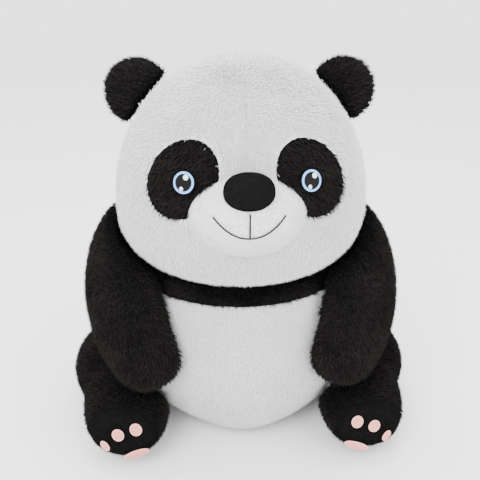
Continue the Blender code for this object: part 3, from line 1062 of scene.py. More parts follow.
@dataclass
class EarForm(Form):
    """A flat round ear, a little hollow in front."""

    side: Side = Side.LEFT
    root: Vector = field(default_factory=lambda: Vector((0.1106, -0.009, 0.428)))
    out: Vector = field(default_factory=lambda: Vector((0.815, 0.0, 0.579)).normalized())
    centre_out: float = 0.014
    radius: float = 0.043
    half_thick: float = 0.016
    hollow: float = 0.004
    segments: int = 40
    rings: int = 28

    def point(self, u: Vector) -> Vector:
        """The form's point for a point of the unit sphere."""
        along = self.out.cross(Vector((0, 1, 0)))
        flat = self.radius * (u.x * self.out + u.y * along)
        deep = u.z * self.half_thick
        if u.z < 0:
            deep += self.hollow * max(0.0, 1.0 - (u.x**2 + u.y**2) / 0.55) ** 2
        place = self.root + self.centre_out * self.out + flat + Vector((0, deep, 0))
        return self.side.of(place)


# ---------------------------------------------------------------- stuffing


@dataclass
class Cover:
    """A sewn cover: its mesh, and how far each point is from the nearest seam."""

    name: str
    mesh: bpy.types.Mesh
    seams: Callable[[np.ndarray], np.ndarray]
    swell: float
    obj: Optional[bpy.types.Object] = None
    filled: bool = False


class StuffingBench:
    """Fills covers: each is cloth under pressure that its seams hold back."""

    voxel = 0.0058
    pinned = 0.0035
    frames = 20
    pressure = 4.0
    seam_reach = 0.014
    stiffness = 2.0

    def __init__(self) -> None:
        """Starts with an empty bench."""
        self.covers: list[Cover] = []

    def lay(
        self,
        name: str,
        mesh: bpy.types.Mesh,
        seams: Callable[[np.ndarray], np.ndarray],
        swell: float,
        voxel: Optional[float] = None,
    ) -> Cover:
        """Puts a cover on the bench.

        Args:
            name: The cover's name.
            mesh: Its closed form, a little smaller than it will be when it is full.
            seams: Gives each point's distance from the nearest seam.
            swell: The most that a point may move.
            voxel: The size of the cloth's faces, where it isn't the usual one.

        Returns:
            The cover.
        """
        obj = new_object(name, mesh)
        step = obj.modifiers.new("faces", "REMESH")
        step.mode = "VOXEL"
        step.voxel_size = voxel or self.voxel
        made = Cover(name, settled(obj, name), seams, swell)
        self.covers.append(made)
        return made

    def fill(self) -> None:
        """Runs all covers together and keeps each point's move within its cover's swell."""
        self.simulate()
        for cover in self.covers:
            if not cover.filled:
                points, normals = points_of(cover.mesh), normals_of(cover.mesh)
                free = smooth_step(cover.seams(points), 0.0, self.seam_reach)
                move_points(cover.mesh, points + normals * (cover.swell * free)[:, None])
            self.relax(cover.mesh, 2)

    def simulate(self) -> None:
        """Steps the cloth and takes over its shape."""
        scene = bpy.context.scene
        for cover in self.covers:
            cover.obj = new_object(f"{cover.name}_cloth", cover.mesh)
            near = np.nonzero(cover.seams(points_of(cover.mesh)) < self.pinned)[0]
            group = cover.obj.vertex_groups.new(name="seam")
            group.add([int(i) for i in near], 1.0, "REPLACE")
            cloth = cover.obj.modifiers.new("stuffing", "CLOTH")
            cloth.settings.vertex_group_mass = "seam"
            cloth.settings.use_pressure = True
            cloth.settings.uniform_pressure_force = self.pressure
            cloth.settings.effector_weights.gravity = 0.0
            cloth.settings.quality = 4
            cloth.settings.bending_stiffness = self.stiffness
            cloth.collision_settings.use_collision = False
            cloth.point_cache.frame_start, cloth.point_cache.frame_end = 1, self.frames
        for number in range(1, self.frames + 1):
            scene.frame_set(number)
        graph = bpy.context.evaluated_depsgraph_get()
        for cover in self.covers:
            before = points_of(cover.mesh)
            cloth = cover.obj.evaluated_get(graph)
            move = points_of(cloth.data) - before
            length = np.linalg.norm(move, axis=1, keepdims=True)
            held = move * np.minimum(1.0, cover.swell / np.maximum(length, 1e-9))
            cover.obj.modifiers.clear()
            cover.obj.vertex_groups.clear()
            move_points(cover.mesh, before + held)
        scene.frame_set(1)
        for cover in self.covers:
            bpy.data.objects.remove(cover.obj)
            cover.obj, cover.filled = None, True

    def relax(self, mesh: bpy.types.Mesh, times: int) -> None:
        """Takes the small unevenness out of a mesh."""
        bm = bmesh.new()
        bm.from_mesh(mesh)
        for _ in range(times):
            bmesh.ops.smooth_vert(
                bm, verts=bm.verts, factor=0.5, use_axis_x=True, use_axis_y=True, use_axis_z=True
            )
        bm.to_mesh(mesh)
        bm.free()
        mesh.update()


# ---------------------------------------------------------------- dressing


@dataclass(frozen=True)
class Pile:
    """A pile fabric: its pile, the ground it grows from and how it is planted."""

    finish: PlushFinish
    backing: Finish
    length: float = 0.0062
    thickness: float = 0.00075
    spacing: float = 0.00118
    lean: float = 0.48
    wander: float = 0.22


WHITE_PLUSH = Pile(WHITE_PILE, WHITE_BACKING)
BLACK_PLUSH = Pile(
    BLACK_PILE, BLACK_BACKING, length=0.0066, thickness=0.00085, spacing=0.0013
)
MUZZLE_VELOUR = Pile(
    WHITE_VELOUR, WHITE_KNIT, length=0.0016, thickness=0.0005, spacing=0.0009, wander=0.15
)
NOSE_VELOUR = Pile(
    BLACK_VELOUR, BLACK_KNIT, length=0.0012, thickness=0.0005, spacing=0.0009, wander=0.15
)
SOLE_VELOUR = Pile(
    BLACK_VELOUR, BLACK_KNIT, length=0.0028, thickness=0.0006, spacing=0.0010, wander=0.2
)


@dataclass(frozen=True)
class Bend:
    """Fabric that crosses a joint: the body on each side and the span of the crossing."""

    parent: str
    child: str
    start: Vector
    end: Vector


Carrier = str | Bend


class Dressing:
    """Turns panels, pile and thread into pieces that ride on the frame."""

    most_tufts = 48000
    root_sunk = 0.12
    swirl, swirls_per_metre = 0.55, 22.0
    nap_spread, nap_lumps_per_metre = 0.14, 45.0
    tuft: Optional[bpy.types.Object] = None

    @classmethod
    def tuft_object(cls) -> bpy.types.Object:
        """One tuft: a closed three-sided spike of unit height, its root a little sunk.

        Returns:
            The object that the pile repeats. It isn't part of the scene.
        """
        if cls.tuft is None:
            turns = (0.0, 2 * math.pi / 3, 4 * math.pi / 3)
            corners = [(math.cos(a), math.sin(a), -cls.root_sunk) for a in turns]
            mesh = bpy.data.meshes.new("tuft")
            faces = [(0, 1, 3), (1, 2, 3), (2, 0, 3), (2, 1, 0)]
            mesh.from_pydata([*corners, (0.0, 0.0, 1.0)], [], faces)
            store(mesh, "tip", np.array([0.0, 0.0, 0.0, 1.0]))
            cls.tuft = bpy.data.objects.new("tuft", mesh)
        return cls.tuft

    @staticmethod
    def carry(piece: bpy.types.Object, body: Carrier) -> None:
        """Puts a finished piece on its body; a piece that crosses a joint stays where it is in the
        world, on no body.
        """
        if isinstance(body, Bend):
            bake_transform(piece)
        else:
            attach(piece, body)

    @classmethod
    def groom(
        cls,
        mesh: bpy.types.Mesh,
        way: Vector,
        cover: np.ndarray,
        nap: Optional[np.ndarray] = None,
    ) -> None:
        """Stores what the pile needs: where it grows, how long it is and where it lies.

        Args:
            mesh: The cover or panel.
            way: The direction in which the pile lies.
            cover: For each point, how densely it grows, 0 to 1.
            nap: For each point, its share of the full length.
        """
        points, normals = points_of(mesh), normals_of(mesh)
        base = np.array(way)
        swirl = np.array([noise.noise_vector(Vector(p) * cls.swirls_per_metre) for p in points])
        lie = base[None, :] + cls.swirl * swirl
        lie -= np.sum(lie * normals, axis=1, keepdims=True) * normals
        lie /= np.maximum(np.linalg.norm(lie, axis=1, keepdims=True), 1e-6)
        store(mesh, "skin_normal", normals)
        store(mesh, "comb", lie)
        store(mesh, "cover", np.clip(cover, 0.0, 1.0))
        full = np.ones(len(points)) if nap is None else nap
        uneven = cls.nap_spread * lumps(points, cls.nap_lumps_per_metre)
        store(mesh, "nap", full * (1.0 + uneven))

    @staticmethod
    def cut(
        mesh: bpy.types.Mesh,
        name: str,
        planes: Sequence[Plane] = (),
        keep: Optional[Callable[[Vector], bool]] = None,
    ) -> bpy.types.Mesh:
        """A panel of a cover.

        Args:
            mesh: The cover.
            name: The panel's name.
            planes: A point and a direction each. What lies past the plane goes.
            keep: Says of a face's middle whether the face stays.

        Returns:
            The open panel.
        """
        bm = bmesh.new()
        bm.from_mesh(mesh)
        for point, out in planes:
            everything = [*bm.verts, *bm.edges, *bm.faces]
            bmesh.ops.bisect_plane(
                bm, geom=everything, plane_co=point, plane_no=out, clear_outer=True
            )
        if keep:
            gone = [face for face in bm.faces if not keep(face.calc_center_median())]
            bmesh.ops.delete(bm, geom=gone, context="FACES")
        return mesh_of(bm, name)

    @classmethod
    def skin(
        cls,
        panel: bpy.types.Mesh,
        name: str,
        finish: Finish,
        body: Carrier,
        nodes: Iterable[str],
        fill: Optional[float] = 0.8,
        thickness: float = BACKING,
    ) -> bpy.types.Object:
        """The panel's backing as a closed piece.

        Args:
            panel: The open panel.
            name: The piece's name.
            finish: Its finish.
            body: The body that it rides on, or the bend that it crosses.
            nodes: The frame's nodes that it stands for.
            fill: How tight its stuffing is, or None for a piece that isn't padded.
            thickness: The backing's thickness.

        Returns:
            The piece.
        """
        obj = new_object(name, panel.copy())
        step = obj.modifiers.new("thickness", "SOLIDIFY")
        step.thickness = thickness
        step.offset = -1.0
        piece = new_object(name, settled(obj, name))
        return cls.finish_piece(piece, finish, body, nodes, fill)

    @classmethod
    def back_and_plant(
        cls,
        panel: bpy.types.Mesh,
        node: str,
        pile: Pile,
        body: Carrier,
        seed: int,
        fill: Optional[float] = 0.8,
    ) -> None:
        """Makes a groomed panel's backing and its pile.

        Args:
            panel: The groomed open panel.
            node: The frame's node that it stands for.
            pile: Its fabric.
            body: The body that it rides on, or the bend that it crosses.
            seed: The seed of its random draws.
            fill: How tight its stuffing is, or None for a piece that isn't padded.
        """
        cls.skin(panel, f"{node}_fabric", pile.backing, body, [node], fill)
        cls.plant(panel, f"{node}_pile", pile, body, seed)

    @classmethod
    def finish_piece(
        cls,
        piece: bpy.types.Object,
        finish: Finish,
        body: Carrier,
        nodes: Iterable[str] = (),
        fill: Optional[float] = None,
    ) -> bpy.types.Object:
        """Gives a piece its finish and its place in the frame.

        Args:
            piece: The piece.
            finish: Its finish.
            body: The body that it rides on, or the bend that it crosses.
            nodes: The frame's nodes that it stands for.
            fill: Not used.

        Returns:
            The piece.
        """
        piece.data.materials.clear()
        piece.data.materials.append(finish.material())
        piece.data.shade_smooth()
        cls.carry(piece, body)
        nodes = list(nodes)
        if nodes:
            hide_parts(*nodes)
        log.info("%s: %d faces", piece.name, len(piece.data.polygons))
        return piece

    @classmethod
    def plant(
        cls, panel: bpy.types.Mesh, name: str, pile: Pile, body: Carrier, seed: int
    ) -> None:
        """Plants the pile of a panel, in as many pieces as its size asks for.

        Args:
            panel: The groomed open panel.
            name: The pile's name.
            pile: How it is planted.
            body: The body that it rides on, or the bend that it crosses.
            seed: The seed of its random draws.
        """
        coarse = 1.0
        obj = new_object(f"{name}_fabric", panel.copy())
        step = obj.modifiers.new("pile", "NODES")
        step.node_group = PileTree.get()
        values = {
            "Tuft": cls.tuft_object(),
            "Spacing": pile.spacing * coarse,
            "Most per Square Metre": 0.9 / (pile.spacing * coarse) ** 2 * 1.6,
            "Length": pile.length,
            "Thickness": pile.thickness * coarse,
            "Lean": pile.lean,
            "Wander": pile.wander,
            "Seed": seed,
            "Finish": pile.finish.material(),
        }
        set_inputs(step, values)
        whole = settled(obj, name)
        total = len(whole.vertices) // 4
        parts = max(1, math.ceil(total / cls.most_tufts))
        for number, mesh in enumerate(cls.shared_out(whole, parts)):
            label = name if parts == 1 else f"{name}_{number + 1}"
            mesh.name = label
            mesh.materials.append(pile.finish.material())
            cls.bake_map(mesh)
            piece = new_object(label, mesh)
            cls.carry(piece, body)
            log.info("%s: %d tufts", label, len(mesh.vertices) // 4)

    @staticmethod
    def shared_out(whole: bpy.types.Mesh, parts: int) -> list[bpy.types.Mesh]:
        """A pile as several meshes, each of whole tufts, from the lowest to the highest.

        Args:
            whole: The whole pile.
            parts: How many meshes are wanted.

        Returns:
            The meshes.
        """
        points = points_of(whole)
        points[:, 2] = np.maximum(points[:, 2], FLOOR_CLEARANCE)
        tufts = points.reshape(-1, 4, 3)
        order = np.argsort(tufts[:, 3, 2], kind="stable")
        values = {}
        for name, width in (("tip", 1), ("tone", 1), ("skin_normal", 3), ("root", 3)):
            flat = np.zeros(len(points) * width, np.float32)
            key = "value" if width == 1 else "vector"
            whole.attributes[name].data.foreach_get(key, flat)
            values[name] = flat.reshape(-1, 4, width)
        corners = np.array([(0, 1, 3), (1, 2, 3), (2, 0, 3), (2, 1, 0)])
        made = []
        for chosen in np.array_split(order, parts):
            mesh = bpy.data.meshes.new("pile")
            count = len(chosen)
            faces = (corners[None] + 4 * np.arange(count)[:, None, None]).reshape(-1, 3)
            mesh.vertices.add(4 * count)
            mesh.loops.add(12 * count)
            mesh.polygons.add(4 * count)
            mesh.vertices.foreach_set("co", tufts[chosen].astype(np.float32).ravel())
            mesh.loops.foreach_set("vertex_index", faces.astype(np.int32).ravel())
            mesh.polygons.foreach_set("loop_start", np.arange(0, 12 * count, 3, dtype=np.int32))
            mesh.update(calc_edges=True)
            mesh.validate()
            for name, rows in values.items():
                picked = rows[chosen].reshape(4 * count, -1)
                store(mesh, name, picked if picked.shape[1] == 3 else picked[:, 0])
            mesh.shade_smooth()
            made.append(mesh)
        bpy.data.meshes.remove(whole)
        return made

    @staticmethod
    def bake_map(mesh: bpy.types.Mesh) -> None:
        """A map with a small face for each tuft, laid out as the roots lie round."""
        count = len(mesh.vertices)
        roots = np.zeros(count * 3, np.float32)
        mesh.attributes["root"].data.foreach_get("vector", roots)
        roots = roots.reshape(-1, 3)
        middle = roots.mean(axis=0)
        away = roots - middle
        away /= np.maximum(np.linalg.norm(away, axis=1, keepdims=True), 1e-9)
        across = (np.arctan2(away[:, 1], away[:, 0]) / math.pi + 1.0) / 2.0
        up = np.arccos(np.clip(-away[:, 2], -1, 1)) / math.pi
        spread = np.array([(-1.0, -1.0), (1.0, -1.0), (0.0, 0.0), (0.0, 1.6)]) * 0.0012
        spots = np.stack([across, up], axis=1) * 0.98 + 0.01
        spots += np.tile(spread, (count // 4, 1))
        layer = mesh.uv_layers.new(name="OFBake", do_init=False)
        index = np.zeros(len(mesh.loops), np.int32)
        mesh.loops.foreach_get("vertex_index", index)
        layer.uv.foreach_set("vector", spots[index].astype(np.float32).ravel())

    @classmethod
    def core(
        cls,
        mesh: bpy.types.Mesh,
        name: str,
        body: Carrier,
        nodes: Iterable[str],
        inset: float = CORE_INSET,
    ) -> bpy.types.Object:
        """The stuffing inside a cover: lumpy fibre.

        Args:
            mesh: The closed cover.
            name: The piece's name.
            body: The body that it rides on, or the bend that it crosses.
            nodes: The frame's nodes that it stands for.
            inset: How far inside the cover it lies.

        Returns:
            The piece.
        """
        own = mesh.copy()
        for attribute in ("skin_normal", "comb", "cover", "nap"):
            if attribute in own.attributes:
                own.attributes.remove(own.attributes[attribute])
        points, normals = points_of(own), normals_of(own)
        depth = inset + 0.0012 * (1.0 + lumps(points, 60.0, 5.0))
        move_points(own, points - normals * depth[:, None])
        obj = new_object(name, own)
        step = obj.modifiers.new("fewer", "DECIMATE")
        step.ratio = 0.35
        piece = new_object(name, settled(obj, name))
        return cls.finish_piece(piece, FIBRE, body, nodes, 0.85)


@dataclass
class Stitch:
    """One stitch of thread: its points and its girth at each."""

    points: list[Vector]
    girths: list[float]


class Embroidery:
    """Stitches gathered for one piece."""

    def __init__(self, name: str, radius: float, sides: int = 6) -> None:
        """Starts an empty piece.

        Args:
            name: The piece's name.
            radius: The thread's radius.
            sides: How many sides the thread has.
        """
        self.name, self.radius, self.sides = name, radius, sides
        self.stitches: list[Stitch] = []

    def stitch(self, start: Vector, end: Vector, normal: Vector, rise: float) -> None:
        """Adds a stitch that rises out of the fabric between its ends.

        Args:
            start: Where it comes out.
            end: Where it goes in.
            normal: The way out of the fabric.
            rise: How far its middle stands above its ends.
        """
        shares = (0.0, 0.22, 0.5, 0.78, 1.0)
        lift = (-0.6, 0.75, 1.0, 0.75, -0.6)
        points = [start.lerp(end, s) + normal * (rise * h) for s, h in zip(shares, lift)]
        self.stitches.append(Stitch(points, [0.55, 0.95, 1.0, 0.95, 0.55]))

    def sew(self, finish: Finish, body: str, nodes: Iterable[str] = ()) -> bpy.types.Object:
        """Makes the piece from its stitches.

        Args:
            finish: The thread's finish.
            body: The body that it rides on, or the bend that it crosses.
            nodes: The frame's nodes that it stands for.

        Returns:
            The piece.
        """
        points, edges, girths = [], [], []
        for stitch in self.stitches:
            first = len(points)
            points += [tuple(p) for p in stitch.points]
            girths += stitch.girths
            edges += [(first + i, first + i + 1) for i in range(len(stitch.points) - 1)]
        mesh = bpy.data.meshes.new(self.name)
        mesh.from_pydata(points, edges, [])
        store(mesh, "girth", np.array(girths))
        obj = new_object(self.name, mesh)
        step = obj.modifiers.new("thread", "NODES")
        step.node_group = ThreadTree.get()
        values = {"Radius": self.radius, "Sides": self.sides, "Finish": finish.material()}
        set_inputs(step, values)
        done = settled(obj, self.name)
        bm = bmesh.new()
        bm.from_mesh(done)
        bmesh.ops.recalc_face_normals(bm, faces=bm.faces)
        bm.to_mesh(done)
        bm.free()
        piece = new_object(self.name, done)
        return Dressing.finish_piece(piece, finish, body, nodes)


@dataclass
class Oval:
    """An oval field of stitching: its middle, its axes and its slight crown."""

    seat: Matrix
    half_width: float
    half_height: float
    crown: float = 0.0006

    def at(self, x: float, y: float) -> Vector:
        """The point of the field at x and y, on the crown."""
        reach = (x / self.half_width) ** 2 + (y / self.half_height) ** 2
        return self.seat @ Vector((x, y, self.crown * max(0.0, 1.0 - reach)))

    @property
    def normal(self) -> Vector:
        """The way out of the fabric."""
        return self.seat.to_3x3() @ Vector((0, 0, 1))

    def fill(
        self, work: Embroidery, pitch: float, slant: float, reach: float, inside: float = 0.0
    ) -> None:
        """Fills the field with rows of stitches, each row shifted against the last.

        Args:
            work: The piece that gets the stitches.
            pitch: The distance between rows.
            slant: The rows' angle in degrees.
            reach: The length of a stitch.
            inside: How far inside the edge they end.
        """
        a, b = self.half_width - inside, self.half_height - inside
        way = Vector((math.cos(math.radians(slant)), math.sin(math.radians(slant))))
        side = Vector((-way.y, way.x))
        most = math.hypot(a * side.x, b * side.y)
        rows = max(1, int(2 * most / pitch))
        for row in range(rows):
            off = -most + (row + 0.5) * 2 * most / rows
            # The line off * side + t * way meets the oval where a quadratic in t is 0.
            qa = (way.x / a) ** 2 + (way.y / b) ** 2
            qb = 2 * off * (side.x * way.x / a**2 + side.y * way.y / b**2)
            qc = off * off * ((side.x / a) ** 2 + (side.y / b) ** 2) - 1
            under = qb * qb - 4 * qa * qc
            if under <= 0:
                continue
            low, high = ((-qb + s * math.sqrt(under)) / (2 * qa) for s in (-1, 1))
            marks = [low]
            mark = low + reach * (0.35 + 0.5 * (row % 3) / 2)
            while mark < high - 0.3 * reach:
                marks.append(mark)
                mark += reach
            marks.append(high)
            for start, end in zip(marks, marks[1:]):
                first, last = side * off + way * start, side * off + way * end
                work.stitch(self.at(*first), self.at(*last), self.normal, 0.5 * work.radius)

    def edge(self, work: Embroidery, pitch: float, band: float) -> None:
        """Lays a band of short stitches across the edge all the way round.

        Args:
            work: The piece that gets the stitches.
            pitch: The distance between stitches.
            band: The band's width.
        """
        girth = math.pi * (self.half_width + self.half_height)
        count = int(girth / pitch)
        for i in range(count):
            turn = 2 * math.pi * i / count
            c, s = math.cos(turn), math.sin(turn)
            outer = self.at(self.half_width * c, self.half_height * s)
            inner = self.at((self.half_width - band) * c, (self.half_height - band) * s)
            work.stitch(inner, outer, self.normal, 1.2 * work.radius)


# ---------------------------------------------------------------- the toy


@dataclass
class Shapes:
    """The forms that several bodies look at, with their search trees."""

    torso: TorsoForm = field(default_factory=TorsoForm)
    head: HeadForm = field(default_factory=HeadForm)
    muzzle: CapForm = field(
        default_factory=lambda: CapForm(
            centre=Vector((0.0, -0.122, 0.327)),
            radii=Vector((0.070, 0.062, 0.054)),
            narrow_above=0.22,
        )
    )
    nose: CapForm = field(
        default_factory=lambda: CapForm(
            centre=Vector((0.0, -0.170, 0.361)),
            radii=Vector((0.027, 0.020, 0.0205)),
            narrow_below=0.10,
            power=2.25,
        )
    )

    def __post_init__(self) -> None:
        """Builds the search trees."""
        self.torso_tree = self.torso.tree()
        self.head_tree = self.head.tree()
        self.muzzle_tree = self.muzzle.tree()
        self.nose_tree = self.nose.tree()
        self.limb_trees: dict[str, BVHTree] = {}
        self.ear_trees: dict[Side, BVHTree] = {}


X_AXIS, Y_AXIS, Z_AXIS = Vector((1, 0, 0)), Vector((0, 1, 0)), Vector((0, 0, 1))


@dataclass
class Torso:
    """The torso: belly, back and base panels, the black yoke, the stuffing and its pouch."""

    shapes: Shapes
    swell: float = 0.003
    base_half_width: float = 0.064
    base_half_depth: float = 0.072
    seat_y: float = 0.037
    head_clear: Range = (0.005, 0.008)
    limb_clear: Range = (-0.014, -0.005)
    floor_clear: Range = (0.003, 0.006)

    def press(self, points: np.ndarray) -> np.ndarray:
        """The points clear of the head and the floor."""
        made = pressed(points, self.shapes.head_tree, NECK_GAP + PILE_DEPTH)
        made[:, 2] = np.maximum(made[:, 2], SKIN_FLOOR)
        return made

    def seams(self, points: np.ndarray) -> np.ndarray:
        """Each point's distance from the nearest seam."""
        x, y, z = points.T
        yoke = np.abs(z - YOKE_Z)
        side = np.abs(y - SIDE_SEAM_Y)
        back = np.where((y > SIDE_SEAM_Y) & (z < YOKE_Z), np.abs(x), 1.0)
        return np.minimum(np.minimum(yoke, side), back)

    def lay(self, bench: StuffingBench) -> None:
        """Puts the cover on the bench."""
        mesh = self.shapes.torso.mesh("torso_cover", PILE_DEPTH + self.swell)
        move_points(mesh, self.press(points_of(mesh)))
        self.cover = bench.lay("torso_cover", mesh, self.seams, self.swell)

    def dress(self) -> None:
        """Cuts and dresses the panels."""
        shapes, mesh = self.shapes, self.cover.mesh
        points = self.press(points_of(mesh))
        move_points(mesh, points)
        grows = smooth_step(depths(points, shapes.head_tree), *self.head_clear)
        for tree in shapes.limb_trees.values():
            grows *= smooth_step(depths(points, tree), *self.limb_clear)
        grows *= smooth_step(points[:, 2], *self.floor_clear)
        Dressing.groom(mesh, Vector((0.0, -0.15, -1.0)), grows)
        gap = SEAM_GAP / 2
        above = (Vector((0, 0, YOKE_Z - gap)), Z_AXIS)
        below = (Vector((0, 0, YOKE_Z + gap)), -Z_AXIS)
        front = (Vector((0, SIDE_SEAM_Y - gap, 0)), Y_AXIS)
        behind = (Vector((0, SIDE_SEAM_Y + gap, 0)), -Y_AXIS)
        left = (Vector((gap, 0, 0)), -X_AXIS)
        right = (Vector((-gap, 0, 0)), X_AXIS)

        def in_base(spot: Vector) -> bool:
            """Whether a spot lies in the oval base."""
            across = spot.x / self.base_half_width
            deep = (spot.y - self.seat_y) / self.base_half_depth
            return across**2 + deep**2 < 1.0 and spot.z < 0.02

        def off_base(spot: Vector) -> bool:
            """Whether a spot lies outside the base."""
            return not in_base(spot)

        rows = (
            ("belly_panel", (above, front), off_base, WHITE_PLUSH),
            ("left_back_panel", (above, behind, left), off_base, WHITE_PLUSH),
            ("right_back_panel", (above, behind, right), off_base, WHITE_PLUSH),
            ("front_yoke", (below, front), None, BLACK_PLUSH),
            ("back_yoke", (below, behind), None, BLACK_PLUSH),
        )
        for number, (node, planes, keep, pile) in enumerate(rows):
            panel = Dressing.cut(mesh, node, planes, keep)
            Dressing.back_and_plant(panel, node, pile, "torso", Seed.TORSO + number)
        base = Dressing.cut(mesh, "base_panel", [above], in_base)
        Dressing.skin(base, "base_panel_fabric", WHITE_BACKING, "torso", ["base_panel"])
        Dressing.core(mesh, "torso_fibre", "torso", ["torso_stuffing"])
        self.make_pouch()

    def make_pouch(self) -> None:
        """The bag of pellets in the seat: a round pillow with a sewn edge."""
        low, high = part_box("pellet_pouch")
        middle, size = (low + high) / 2, (high - low) / 2
        bm = bmesh.new()
        bmesh.ops.create_uvsphere(bm, u_segments=40, v_segments=20, radius=1.0)
        for vertex in bm.verts:
            flat = math.hypot(vertex.co.x, vertex.co.y)
            lump = 0.05 * noise.noise(vertex.co * 3.0)
            deep = math.copysign(abs(vertex.co.z) ** 0.7, vertex.co.z) * (0.93 + lump)
            edge = 1.0 if flat > 0.999 else 0.95
            x, y = vertex.co.x * edge * size.x, vertex.co.y * edge * size.y
            vertex.co = middle + Vector((x, y, deep * size.z))
        piece = new_object("pellet_bag", mesh_of(bm, "pellet_bag"))
        Dressing.finish_piece(piece, POUCH_CLOTH, "torso", ["pellet_pouch"], 0.7)


@dataclass
class Head:
    """The head's two panels and its stuffing."""

    shapes: Shapes
    swell: float = 0.0024
    patch_centre: tuple[float, float] = (0.0685, 0.3635)
    patch_half: tuple[float, float] = (0.0335, 0.0460)
    patch_lean: float = 38.0
    muzzle_clear: Range = (-0.004, -0.001)
    torso_clear: Range = (0.002, 0.007)
    ear_clear: Range = (-0.002, 0.004)
    patch_clear: Range = (1.05, 1.11)  # in shares of the patch's own size

    def seams(self, points: np.ndarray) -> np.ndarray:
        """Each point's distance from the centre seam."""
        return np.abs(points[:, 0])

    def lay(self, bench: StuffingBench) -> None:
        """Puts the cover on the bench."""
        mesh = self.shapes.head.mesh("head_cover", PILE_DEPTH + self.swell)
        self.cover = bench.lay("head_cover", mesh, self.seams, self.swell)

    def patch_reach(self, x: float, z: float, side: Side) -> float:
        """How far a point of the face is from the middle of an eye patch: 1 at its edge."""
        across, up = side.value * x - self.patch_centre[0], z - self.patch_centre[1]
        first, second = turned(across, up, self.patch_lean)
        return math.hypot(first / self.patch_half[0], second / self.patch_half[1])

    def dress(self) -> None:
        """Cuts and dresses the panels."""
        shapes, mesh = self.shapes, self.cover.mesh
        points = points_of(mesh)
        grows = smooth_step(depths(points, shapes.muzzle_tree), *self.muzzle_clear)
        grows *= smooth_step(depths(points, shapes.torso_tree), *self.torso_clear)
        for tree in shapes.ear_trees.values():
            grows *= smooth_step(depths(points, tree), *self.ear_clear)
        for side in Side:
            reach = np.array([self.patch_reach(p[0], p[2], side) for p in points])
            off_patch = smooth_step(reach, *self.patch_clear)
            grows *= np.where(points[:, 1] < 0, off_patch, 1.0)
        Dressing.groom(mesh, Vector((0.0, 0.3, -1.0)), grows)
        gap = SEAM_GAP / 2
        for side in Side:
            node = f"{side.word}_head_panel"
            plane = (Vector((side.value * gap, 0, 0)), -side.value * X_AXIS)
            panel = Dressing.cut(mesh, node, [plane])
            Dressing.back_and_plant(
                panel, node, WHITE_PLUSH, "head", Seed.HEAD + side.value, 0.85
            )
        Dressing.core(mesh, "head_fibre", "head", ["head_stuffing"])


